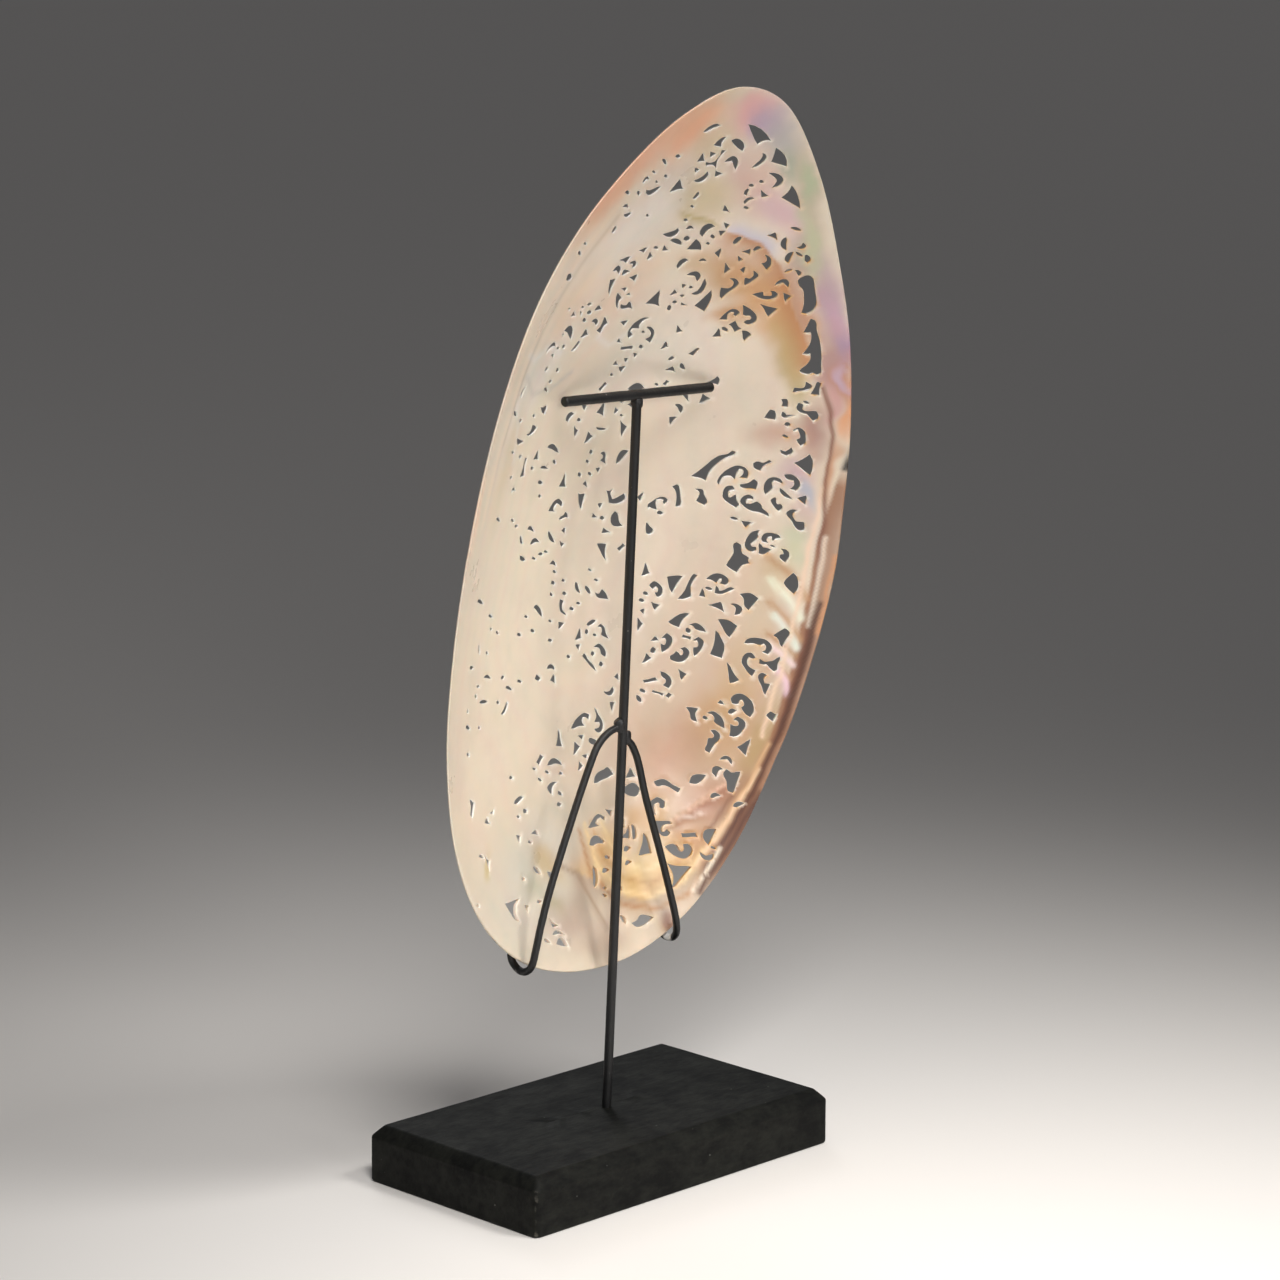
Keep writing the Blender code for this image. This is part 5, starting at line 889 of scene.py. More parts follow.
# soft patches of colour on the pearly face: s, t, half length, half width, turn (degrees from s),
# display colour and strength. Later rows lie over earlier ones.
patches = [
    (-45, 130, 95, 32, 90, (242, 228, 207), 0.8),
    (25, 125, 60, 24, 90, (220, 204, 186), 0.7),
    (0, 30, 60, 40, 0, (208, 190, 168), 0.6),
    # the broad brown patch over the lower right is the shell's browner tone, and partly painted shade
    (50, 60, 50, 34, 70, (190, 162, 138), 0.75),
    (45, 92, 42, 16, 80, (202, 180, 160), 0.7),
    (-25, 33, 28, 20, 0, (210, 204, 190), 0.8),
    (-10, 235, 60, 34, 20, (242, 226, 208), 0.7),
    (-52, 194, 22, 11, 50, (238, 232, 224), 0.85),
    (-25, 236, 22, 10, 25, (246, 236, 228), 0.8),
    (-44, 214, 16, 9, 60, (242, 212, 186), 0.7),
    (-16, 215, 18, 8, 30, (238, 206, 184), 0.7),
    (12, 190, 34, 14, 20, (238, 226, 212), 0.6),
    (-60, 170, 20, 6, 80, (228, 208, 176), 0.6),
    (-43, 257, 31, 8, 41, (246, 188, 156), 0.95),
    (-72, 214, 34, 5, 70, (252, 228, 206), 0.8),
    (-82, 160, 12, 3, 90, (252, 214, 190), 0.8),
    (-17, 268, 14, 9, 30, (254, 190, 154), 0.95),
    (-2, 262, 9, 8, 0, (224, 200, 160), 0.6),
    (7, 272, 9, 7, -10, (236, 172, 174), 0.85),
    (14, 268, 7, 6, -30, (184, 158, 188), 0.8),
    (22, 262, 11, 5, -50, (176, 172, 172), 0.8),
    (27, 254, 6, 3, -60, (160, 172, 150), 0.8),
    (18, 249, 14, 8, -50, (210, 176, 164), 0.8),
    (4, 244, 12, 7, -20, (212, 190, 148), 0.7),
    (37, 245, 18, 3.8, -62, (188, 172, 148), 0.9),
    (35, 250, 7, 2, -60, (172, 190, 152), 0.7),
    (44, 224, 12, 4, -62, (172, 152, 142), 0.85),
    (48, 219, 10, 2.5, -62, (204, 206, 172), 0.7),
    (32, 239, 11, 5, -35, (214, 178, 186), 0.8),
    (27, 217, 13, 7.5, -30, (196, 142, 82), 0.85),
    (40, 208, 13, 7, -52, (206, 156, 98), 0.92),
    (13, 222, 8, 4, -20, (208, 170, 124), 0.6),
    (36, 203, 7, 4, 30, (224, 200, 172), 0.7),
    (30, 205, 7, 3, 10, (196, 140, 84), 0.8),
    (50, 195, 14, 4.5, -62, (192, 164, 106), 0.9),
    (54, 184, 9, 3.5, -66, (190, 168, 118), 0.8),
    (55, 212, 15, 3.6, -64, (182, 150, 166), 0.9),
    (60, 203, 9, 2.4, -62, (206, 164, 186), 0.85),
    (63, 190, 13, 4.0, -70, (176, 132, 126), 0.9),
    (64, 195, 6, 2, -62, (160, 140, 190), 0.7),
    (68, 183, 13, 2.2, -72, (196, 130, 92), 0.9),
    (66, 178, 7, 1.6, -75, (208, 150, 150), 0.7),
    (70.6, 156, 12, 1.5, -86, (196, 138, 98), 0.8),
    (70, 176, 9, 1.2, -78, (226, 160, 112), 0.8),
    (66.6, 186, 6, 1.0, -70, (196, 174, 204), 0.7),
    (64, 168, 9, 4, -80, (166, 122, 112), 0.9),
    (43, 231, 13, 3, -62, (194, 198, 160), 0.8),
    (52, 205, 10, 2, -60, (196, 140, 96), 0.7),
    (56, 166, 8, 5, 0, (196, 156, 136), 0.8),
    (62, 154, 6, 4, -60, (196, 164, 172), 0.85),
    (66, 147, 5, 2.4, -70, (168, 176, 196), 0.8),
    (65, 140, 6, 3, -70, (208, 176, 172), 0.7),
    (66, 130, 9, 3.4, -80, (196, 198, 168), 0.8),
    (62, 121, 6, 4, -60, (198, 170, 132), 0.7),
    (60, 108, 18, 5, -80, (206, 184, 158), 0.7),
    (56, 88, 12, 7, 80, (200, 172, 140), 0.7),
    (51, 71, 15, 9, 62, (188, 150, 108), 0.85),
    (60, 64, 14, 4, 68, (178, 148, 104), 0.9),
    (36, 60, 14, 10, 40, (190, 152, 128), 0.8),
    (47, 48, 12, 6, 20, (184, 142, 116), 0.9),
    (54, 50, 9, 4, 55, (160, 122, 92), 0.8),
    (41, 33, 9, 7, 45, (180, 130, 80), 0.9),
    (52, 37, 10, 3.4, 52, (150, 104, 74), 0.9),
    (26, 42, 8, 6, 30, (190, 150, 96), 0.8),
    (24, 26, 13, 8, 20, (220, 186, 128), 0.9),
    (8, 35, 8, 7, 0, (206, 168, 112), 0.8),
    (-8, 20, 12, 8, 20, (174, 152, 136), 0.75),
    (2, 9, 12, 5, 0, (186, 164, 146), 0.8),
    (28, 12, 4, 4, 0, (140, 84, 56), 0.85),
    (-18, 36, 8, 4, -40, (196, 172, 128), 0.75),
    (-25, 31, 3, 6, 80, (182, 174, 148), 0.55),
    (-18, 24, 2.4, 5, 60, (172, 156, 118), 0.5),
    (-50, 44, 2, 4, 0, (206, 186, 132), 0.8),
]

# bands with one sharp side: line, reach to its left and right, display colour, strength
bands = [
    ([(14, 233), (22, 231.5), (30, 229.5), (38, 222), (46, 208.5), (54, 197), (60, 185)],
     0.0, 4.5, (192, 124, 66), 0.85),
    ([(14, 233), (22, 231.5), (30, 229), (37, 223)], 3.0, 0.0, (208, 201, 216), 0.85),
    ([(36, 224), (41, 217), (47, 207), (55, 195)], 4.2, 0.0, (188, 136, 108), 0.8),
    ([(-6, 241), (3, 238), (11, 236), (18, 233)], 0.0, 2.2, (190, 168, 104), 0.8),
    ([(-10, 33), (0, 28), (10, 22), (22, 19), (34, 22), (42, 31)], 5.0, 0.0, (206, 164, 104), 0.6),
    ([(-10, 33), (0, 28), (10, 22), (22, 19), (34, 22), (42, 31)], 0.0, 4.0, (168, 140, 120), 0.6),
    ([(30, 37), (38, 43), (46, 48), (54, 55)], 0.0, 3.4, (160, 108, 84), 0.8),
    ([(46, 40), (53, 47), (59, 57), (63.5, 70)], 0.0, 2.6, (170, 128, 92), 0.7),
    ([(73.0, 158), (71.9, 140), (71.4, 120), (70.0, 98), (66.6, 80), (62.6, 64), (57, 50), (49, 37),
      (40, 26)], 9.0, 0.0, (152, 104, 74), 0.96),
]

# narrow streaks on the pearly face: line, half width, display colour, strength
streaks = [
    # the four brown streaks lie in the troughs between the hinge ripples: brown lines, darkened as painted
    # shade
    ([(60.5, 125), (66, 121), (71, 113)], 1.3, (186, 142, 102), 0.8),
    ([(62, 111), (66.5, 106), (70.5, 100)], 1.1, (186, 142, 102), 0.8),
    ([(62, 101), (66.5, 98), (70, 94.5)], 0.9, (180, 138, 100), 0.8),
    ([(62, 91), (65.5, 90), (68.5, 87)], 1.0, (180, 134, 100), 0.8),
    # the four pale streaks lie on the ripples' crests as painted highlights
    ([(62, 118), (66, 113), (70.2, 106.5)], 1.3, (236, 236, 216), 0.9),
    ([(63.5, 107), (67, 102), (70, 97)], 1.2, (228, 234, 222), 0.9),
    ([(62.5, 97.5), (66, 94.5), (69.3, 91.5)], 1.0, (240, 216, 216), 0.85),
    ([(64.8, 90), (67, 86), (68.2, 82)], 1.1, (232, 196, 210), 0.9),
    # a painted highlight along the hinge ridge
    ([(69.6, 150), (69.9, 135), (69.6, 120), (68.0, 100), (65.0, 84), (61.6, 68)],
     0.6, (240, 212, 186), 0.8),
    ([(62, 183), (66, 175), (68.5, 168), (69.6, 153), (72.2, 138), (73.3, 121), (72.2, 99),
      (69, 82), (65, 66)], 0.75, (122, 66, 40), 0.85),
    # a painted highlight near the rim edge of the hinge
    ([(73.7, 134), (73.4, 120), (72.6, 104)], 0.6, (250, 236, 218), 0.7),
    ([(74.6, 112), (72.6, 96), (69.4, 80), (65.6, 68), (61.4, 56), (55, 44), (47, 32), (42, 25)],
     0.9, (84, 46, 32), 0.95),
    ([(76.4, 128), (75.8, 112), (74.6, 102)], 0.6, (206, 146, 102), 0.8),
    ([(2, 43), (4, 31), (12, 23), (24, 19.5), (36, 23.5), (43, 32)], 0.8, (240, 212, 160), 0.8),
    ([(5, 43), (7.5, 33), (14, 26), (24, 23), (33, 26.5), (38, 34)], 0.8, (186, 140, 86), 0.65),
    ([(-1, 42), (1, 29.5), (10, 19.5), (24, 15.8), (37, 19.5), (47, 30)], 0.8, (178, 126, 80), 0.7),
    ([(9, 44), (11, 36), (17, 29.5), (24, 27), (30, 29.5)], 0.8, (238, 214, 166), 0.6),
    ([(-12, 34), (-4, 30), (0, 22), (4, 13)], 0.8, (150, 118, 92), 0.55),
    ([(63.4, 66), (58.4, 54), (51, 42), (44, 33)], 0.6, (216, 176, 134), 0.8),
    ([(61, 50), (56, 42), (50.4, 33), (44, 25), (40.4, 20)], 1.3, (84, 46, 34), 0.9),
    ([(56, 49), (51, 41), (45, 33), (40, 27)], 0.7, (210, 176, 142), 0.8),
    ([(53, 49), (48, 42), (43, 36)], 0.6, (120, 76, 52), 0.6),
    ([(30, 37), (38, 43), (46, 48), (54, 55)], 0.6, (232, 196, 172), 0.7),
    ([(37, 41.4), (44, 43.4)], 0.6, (246, 228, 216), 0.6),
    ([(61, 58), (54, 46), (46, 35), (40, 28)], 0.5, (236, 204, 168), 0.7),
    # a painted highlight line near the foot
    ([(38, 20), (44, 27), (48, 33)], 0.6, (250, 236, 216), 0.8),
    ([(73.9, 164), (73.8, 157)], 0.9, (24, 20, 18), 0.98),
    ([(6, 1.5), (18, 3), (30, 8), (38, 14)], 1.0, (176, 126, 86), 0.8),
    ([(-20, 4), (-6, 0.5), (6, 1)], 0.8, (214, 180, 140), 0.6),
    # a painted highlight along the low ridge inside the left rim, and painted shade along the groove beside
    # it
    ([(-40, 246), (-52, 232), (-61, 216), (-67, 198), (-71, 178), (-74, 155)], 1.6, (246, 224, 200), 0.6),
    ([(-37, 242), (-49, 228), (-58, 213), (-64, 197), (-68, 178)], 1.3, (204, 186, 160), 0.5),
    ([(-66, 204), (-58, 200), (-50, 203), (-40, 198)], 1.2, (240, 238, 234), 0.6),
    ([(-62, 196), (-52, 188), (-40, 186), (-28, 190)], 1.0, (204, 200, 192), 0.6),
    ([(-64, 188), (-58, 180), (-55, 168)], 1.2, (238, 234, 228), 0.5),
    ([(-20, 200), (-12, 196), (-4, 199)], 1.0, (240, 236, 230), 0.5),
]


def besideLine(points, line):
    # distance to a broken line, plus on its left hand and minus on its right, and a share that
    # rises from 0 to 1 over the first 7 mm of its length and falls over the last 7 mm
    line = np.asarray(line, float)
    start, along = line[:-1], np.diff(line, axis=0)
    size = np.hypot(*along.T)
    away = points[:, None] - start[None]
    u = np.clip((away * along).sum(-1) / size ** 2, 0, 1)
    rest = away - u[..., None] * along
    gap = np.hypot(rest[..., 0], rest[..., 1])
    pick = gap.argmin(axis=1)
    row = np.arange(len(points))
    side = along[pick, 0] * rest[row, pick, 1] - along[pick, 1] * rest[row, pick, 0]
    travel = (np.cumsum(size) - size)[pick] + u[row, pick] * size[pick]
    fade = np.clip(travel / 7, 0, 1) * np.clip((size.sum() - travel) / 7, 0, 1)
    return gap[row, pick] * np.sign(side), fade


def faceColour(points):
    # cream, then each patch mixed in by strength * exp(-((x/a)^2 + (y/b)^2)^1.4), its edge broken
    # by coarse and fine noise, then each band by strength * exp(-(side distance / reach)^2) from
    # a sharp side, then each streak by strength * exp(-(distance / width)^2)
    broken = points + np.column_stack([wavyNoise(points, 15, 31), wavyNoise(points, 15, 32)]) * 1.6
    broken = broken + np.column_stack([wavyNoise(points, 5, 33), wavyNoise(points, 5, 34)]) * 0.6
    near = points * 0.75 + broken * 0.25
    colour = np.tile(linear((226, 211, 192)), (len(points), 1))
    for s, t, long, wide, turn, rgb, strength in patches:
        c, w = math.cos(math.radians(turn)), math.sin(math.radians(turn))
        away = broken - (s, t)
        x, y = away[:, 0] * c + away[:, 1] * w, away[:, 1] * c - away[:, 0] * w
        share = (strength * np.exp(-((x / long) ** 2 + (y / wide) ** 2) ** 1.4))[:, None]
        colour = colour * (1 - share) + linear(rgb) * share
    for line, left, right, rgb, strength in bands:
        side, fade = besideLine(near, line)
        reach = max(left, right)
        beyond = side if left > 0 else -side
        share = strength * fade * np.clip(beyond / 0.8 + 0.5, 0, 1) * np.exp(-(beyond / reach) ** 2)
        colour = colour * (1 - share[:, None]) + linear(rgb) * share[:, None]
    for line, width, rgb, strength in streaks:
        gap = nearLine(near, line)[0]
        share = (strength * np.exp(-(gap / width) ** 2))[:, None]
        colour = colour * (1 - share) + linear(rgb) * share
    return colour


def wallColour(points):
    # the cut walls are pale, and amber at the foot and inside the muscle scar; on the hinge side, where
    # smooth noise is high, amber flecks are painted gold glints
    s, t = points.T
    amberAndGlint = np.exp(-((t - 28) / 20) ** 2) * np.clip((s + 8) / 12, 0.25, 1) * 0.8
    amberAndGlint = amberAndGlint + np.exp(-(((s - 34) / 26) ** 2 + ((t - 222) / 34) ** 2)) * 0.8
    # painted gold glints: amber flecks on the hinge side where smooth noise is high
    amberAndGlint = amberAndGlint + np.clip((s - 32) / 16, 0, 1) * np.clip(wavyNoise(points, 4, 51) * 1.6, 0, 1)
    amberAndGlint = np.clip(amberAndGlint, 0, 1)[:, None]
    return linear((250, 244, 234)) * (1 - amberAndGlint) + linear((222, 178, 116)) * amberAndGlint


def outerColour(points):
    # the rounded side: paler pearl, rosier towards the rim, warm at the foot and the hinge
    s, t = points.T
    edge = np.clip(rho(points), 0, 1)[:, None] ** 4
    warm = np.exp(-((t - 10) / 40) ** 2)[:, None] + np.clip((s - 45) / 40, 0, 0.7)[:, None]
    warm = np.clip(warm, 0, 1)
    colour = linear((228, 218, 206)) * (1 - edge * 0.6) + linear((222, 190, 176)) * edge * 0.6
    return colour * (1 - warm * 0.6) + linear((206, 168, 130)) * warm * 0.6


def paintShell(shell, flatOf, level):
    # level: 0 on the pearly face, 1 on the outer one, between them on the rim, 2 to 3 in a cut; up to 0.05 on
    # the pearly face at cut edges that face the hinge and the foot, where half the pale wall colour is mixed
    # in as a painted highlight
    face, wall, outer = faceColour(flatOf), wallColour(flatOf), outerColour(flatOf)
    # painted highlight: up to half the pale wall colour along the cut edges that face the hinge and the foot
    litCutEdge = np.clip(level / 0.05, 0, 1) * (level < 0.051)
    wallShare = np.maximum((level > 2) * 1.0, litCutEdge * 0.5)[:, None]
    outerShare = ((level > 0.85) & (level < 2))[:, None] * 1.0
    colour = face * (1 - outerShare) + outer * outerShare
    colour = colour * (1 - wallShare) + wall * wallShare
    layer = shell.data.color_attributes.new("pearlTint", "FLOAT_COLOR", "POINT")
    layer.data.foreach_set("color", np.column_stack([colour, np.ones(len(colour))]).ravel())
    place = shell.data.attributes.new("bandPlace", "FLOAT", "POINT")
    # growth bands follow the rim: rho scaled so one unit is about a millimetre at the rim
    place.data.foreach_set("value", rho(flatOf) * 80)


def node(tree, kind, **values):
    made = tree.nodes.new(kind)
    for key, value in values.items():
        if hasattr(made, key):
            setattr(made, key, value)
        else:
            made.inputs[key.replace("_", " ")].default_value = value
    return made


def newMaterial(name):
    material = bpy.data.materials.new(name)
    material.use_nodes = True
    tree = material.node_tree
    return material, tree, tree.nodes["Principled BSDF"]


def ramp(tree, stops):
    made = tree.nodes.new("ShaderNodeValToRGB")
    band = made.color_ramp
    while len(band.elements) < len(stops):
        band.elements.new(0.5)
    for element, (place, colour) in zip(band.elements, stops):
        element.position = place
        element.color = (*colour, 1.0)
    return made


def mixColour(tree, blend, factor, first, second):
    made = tree.nodes.new("ShaderNodeMix")
    made.data_type = "RGBA"
    made.blend_type = blend
    for place, value in ((0, factor), (6, first), (7, second)):
        if isinstance(value, bpy.types.NodeSocket):
            tree.links.new(value, made.inputs[place])
        else:
            made.inputs[place].default_value = value if place == 0 else (*value, 1.0)
    return made.outputs[2]


pearl = {
    "roughness": (0.2, 0.42),
    "cloud": 0.10,          # strength of the cloudy light and dark
    "shimmer": 0.10,        # strength of the pink and green bands
    "bump": 0.12,
}


def pearlMaterial():
    material, tree, shader = newMaterial("pearl_nacre")
    link = tree.links.new
    place = node(tree, "ShaderNodeTexCoord").outputs["Object"]
    tint = node(tree, "ShaderNodeAttribute", attribute_name="pearlTint").outputs["Color"]
    bands = node(tree, "ShaderNodeAttribute", attribute_name="bandPlace").outputs["Fac"]
    cloud = node(tree, "ShaderNodeTexNoise", Scale=38.0, Detail=5.0, Roughness=0.6)
    link(place, cloud.inputs["Vector"])
    cloudTone = ramp(tree, [(0.2, (0.86, 0.86, 0.88)), (0.5, (1, 1, 1)), (0.72, (1.05, 1.03, 0.99))])
    link(cloud.outputs["Fac"], cloudTone.inputs["Fac"])
    shaded = mixColour(tree, "MULTIPLY", 0.8, tint, cloudTone.outputs["Color"])
    # pink and green bands that follow the growth lines, bent by noise
    bend = node(tree, "ShaderNodeTexNoise", Scale=16.0, Detail=3.0)
    link(place, bend.inputs["Vector"])
    turn = node(tree, "ShaderNodeMath", operation="MULTIPLY_ADD")
    link(bend.outputs["Fac"], turn.inputs[0])
    turn.inputs[1].default_value = 26.0
    link(bands, turn.inputs[2])
    wave = node(tree, "ShaderNodeMath", operation="PINGPONG")
    link(turn.outputs[0], wave.inputs[0])
    wave.inputs[1].default_value = 7.0
    share = node(tree, "ShaderNodeMath", operation="DIVIDE")
    link(wave.outputs[0], share.inputs[0])
    share.inputs[1].default_value = 7.0
    hue = ramp(tree, [(0.0, (1.0, 0.90, 0.93)), (0.35, (1, 1, 1)), (0.65, (1, 1, 0.98)),
                      (1.0, (0.91, 0.98, 0.95))])
    link(share.outputs[0], hue.inputs["Fac"])
    coloured = mixColour(tree, "MULTIPLY", 0.32, shaded, hue.outputs["Color"])
    link(coloured, shader.inputs["Base Color"])
    gloss = node(tree, "ShaderNodeMapRange")
    gloss.inputs["To Min"].default_value = pearl["roughness"][0]
    gloss.inputs["To Max"].default_value = pearl["roughness"][1]
    link(cloud.outputs["Fac"], gloss.inputs["Value"])
    link(gloss.outputs["Result"], shader.inputs["Roughness"])
    fine = node(tree, "ShaderNodeTexNoise", Scale=420.0, Detail=4.0)
    link(place, fine.inputs["Vector"])
    soft = node(tree, "ShaderNodeTexNoise", Scale=70.0, Detail=2.0)
    link(place, soft.inputs["Vector"])
    height = node(tree, "ShaderNodeMath", operation="MULTIPLY_ADD")
    link(fine.outputs["Fac"], height.inputs[0])
    height.inputs[1].default_value = 0.12
    link(soft.outputs["Fac"], height.inputs[2])
    bump = node(tree, "ShaderNodeBump", Strength=pearl["bump"], Distance=0.002)
    link(height.outputs[0], bump.inputs["Height"])
    link(bump.outputs["Normal"], shader.inputs["Normal"])
    shader.inputs["Specular IOR Level"].default_value = 0.6
    shader.inputs["Coat Weight"].default_value = 0.35
    shader.inputs["Coat Roughness"].default_value = 0.12
    shader.inputs["Subsurface Weight"].default_value = 0.25
    shader.inputs["Subsurface Radius"].default_value = (1.0, 0.6, 0.4)
    shader.inputs["Subsurface Scale"].default_value = 0.002
    return material


wirePaint = {"dark": (0.002, 0.002, 0.0022), "light": (0.007, 0.007, 0.0075), "roughness": (0.34, 0.55)}


def wireMaterial():
    material, tree, shader = newMaterial("black_wire_paint")
    link = tree.links.new
    place = node(tree, "ShaderNodeTexCoord").outputs["Object"]
    patchy = node(tree, "ShaderNodeTexNoise", Scale=160.0, Detail=4.0)
    link(place, patchy.inputs["Vector"])
    tone = ramp(tree, [(0.35, wirePaint["dark"]), (0.7, wirePaint["light"])])
    link(patchy.outputs["Fac"], tone.inputs["Fac"])
    # rare nicks where the bare steel shows
    nick = node(tree, "ShaderNodeTexNoise", Scale=330.0, Detail=2.0)
    link(place, nick.inputs["Vector"])
    bare = ramp(tree, [(0.74, (0, 0, 0)), (0.77, (1, 1, 1))])
    link(nick.outputs["Fac"], bare.inputs["Fac"])
    nicked = mixColour(tree, "MIX", bare.outputs["Color"], tone.outputs["Color"], (0.12, 0.11, 0.10))
    # bare wire from a painted attribute: a real paint nick on the bar, and a painted highlight, a bright
    # glint, inside the right hook's bend
    wornAndGlint = node(tree, "ShaderNodeAttribute", attribute_name="wear_and_glint").outputs["Fac"]
    shown = ramp(tree, [(0.35, (0, 0, 0)), (0.6, (1, 1, 1))])
    link(wornAndGlint, shown.inputs["Fac"])
    link(mixColour(tree, "MIX", shown.outputs["Color"], nicked, (0.72, 0.71, 0.68)),
         shader.inputs["Base Color"])
    gloss = node(tree, "ShaderNodeMapRange")
    gloss.inputs["To Min"].default_value = wirePaint["roughness"][0]
    gloss.inputs["To Max"].default_value = wirePaint["roughness"][1]
    link(patchy.outputs["Fac"], gloss.inputs["Value"])
    link(gloss.outputs["Result"], shader.inputs["Roughness"])
    grain = node(tree, "ShaderNodeTexNoise", Scale=900.0, Detail=3.0)
    link(place, grain.inputs["Vector"])
    bump = node(tree, "ShaderNodeBump", Strength=0.25, Distance=0.0004)
    link(grain.outputs["Fac"], bump.inputs["Height"])
    link(bump.outputs["Normal"], shader.inputs["Normal"])
    return material


woodPaint = {"dark": (0.001, 0.0012, 0.0009), "light": (0.0085, 0.009, 0.0068), "roughness": (0.45, 0.85)}


def woodMaterial():
    material, tree, shader = newMaterial("black_wood_paint")
    link = tree.links.new
    place = node(tree, "ShaderNodeTexCoord").outputs["Object"]
    # brush strokes run along the block, so the pattern is stretched along X
    stretch = node(tree, "ShaderNodeMapping")
    stretch.inputs["Scale"].default_value = (0.42, 1.0, 1.0)
    link(place, stretch.inputs["Vector"])
    brush = node(tree, "ShaderNodeTexNoise", Scale=420.0, Detail=5.0, Roughness=0.65)
    link(stretch.outputs["Vector"], brush.inputs["Vector"])
    mottle = node(tree, "ShaderNodeTexNoise", Scale=62.0, Detail=6.0, Roughness=0.7)
    link(place, mottle.inputs["Vector"])
    both = node(tree, "ShaderNodeMath", operation="MULTIPLY_ADD")
    link(brush.outputs["Fac"], both.inputs[0])
    both.inputs[1].default_value = 0.45
    half = node(tree, "ShaderNodeMath", operation="MULTIPLY")
    link(mottle.outputs["Fac"], half.inputs[0])
    half.inputs[1].default_value = 0.55
    link(half.outputs[0], both.inputs[2])
    tone = ramp(tree, [(0.42, woodPaint["dark"]), (0.6, woodPaint["light"])])
    link(both.outputs[0], tone.inputs["Fac"])
    # worn light edges come from a painted attribute, and dust specks from a fine cell pattern
    wornAndGlint = node(tree, "ShaderNodeAttribute", attribute_name="wear_and_glint").outputs["Fac"]
    chips = node(tree, "ShaderNodeMath", operation="MULTIPLY")
    link(wornAndGlint, chips.inputs[0])
    link(brush.outputs["Fac"], chips.inputs[1])
    shown = ramp(tree, [(0.3, (0, 0, 0)), (0.5, (1, 1, 1))])
    link(chips.outputs[0], shown.inputs["Fac"])
    aged = mixColour(tree, "MIX", shown.outputs["Color"], tone.outputs["Color"], (0.075, 0.07, 0.058))
    specks = node(tree, "ShaderNodeTexVoronoi", Scale=130.0)
    link(place, specks.inputs["Vector"])
    dust = ramp(tree, [(0.022, (1, 1, 1)), (0.034, (0, 0, 0))])
    link(specks.outputs["Distance"], dust.inputs["Fac"])
    link(mixColour(tree, "MIX", dust.outputs["Color"], aged, (0.13, 0.13, 0.12)),
         shader.inputs["Base Color"])
    gloss = node(tree, "ShaderNodeMapRange")
    gloss.inputs["To Min"].default_value = woodPaint["roughness"][1]
    gloss.inputs["To Max"].default_value = woodPaint["roughness"][0]
    link(both.outputs[0], gloss.inputs["Value"])
    link(gloss.outputs["Result"], shader.inputs["Roughness"])
    bump = node(tree, "ShaderNodeBump", Strength=0.5, Distance=0.0006)
    link(both.outputs[0], bump.inputs["Height"])
    link(bump.outputs["Normal"], shader.inputs["Normal"])
    shader.inputs["Specular IOR Level"].default_value = 0.16
    return material


block = {
    "size": (128.0, 74.0, 18.0),
    "chamfer": 3.4,
    "corner": 2.0,
    "soften": 0.7,          # rounding of the planed edges
}


def roundedRow(halfX, halfY, radius, perSide, perCorner):
    # anticlockwise rounded rectangle: arcs of perCorner points joined by perSide points
    radius = np.minimum(radius, np.minimum(halfX, halfY))
    quarter = np.linspace(0, np.pi / 2, perCorner)
    out = []
    for k, (sx, sy) in enumerate(((1, 1), (-1, 1), (-1, -1), (1, -1))):
        a = quarter + k * np.pi / 2
        centre = np.array([sx * (halfX - radius), sy * (halfY - radius)])
        arc = centre + radius * np.column_stack([np.cos(a), np.sin(a)])
        following = ((-1, 1), (-1, -1), (1, -1), (1, 1))[k]
        b = (k + 1) * np.pi / 2
        nextStart = np.array([following[0] * (halfX - radius), following[1] * (halfY - radius)])
        nextStart = nextStart + radius * np.array([math.cos(b), math.sin(b)])
        u = np.linspace(0, 1, perSide + 2)[1:-1, None]
        out += [arc, arc[-1] + (nextStart - arc[-1]) * u]
    return np.vstack(out)


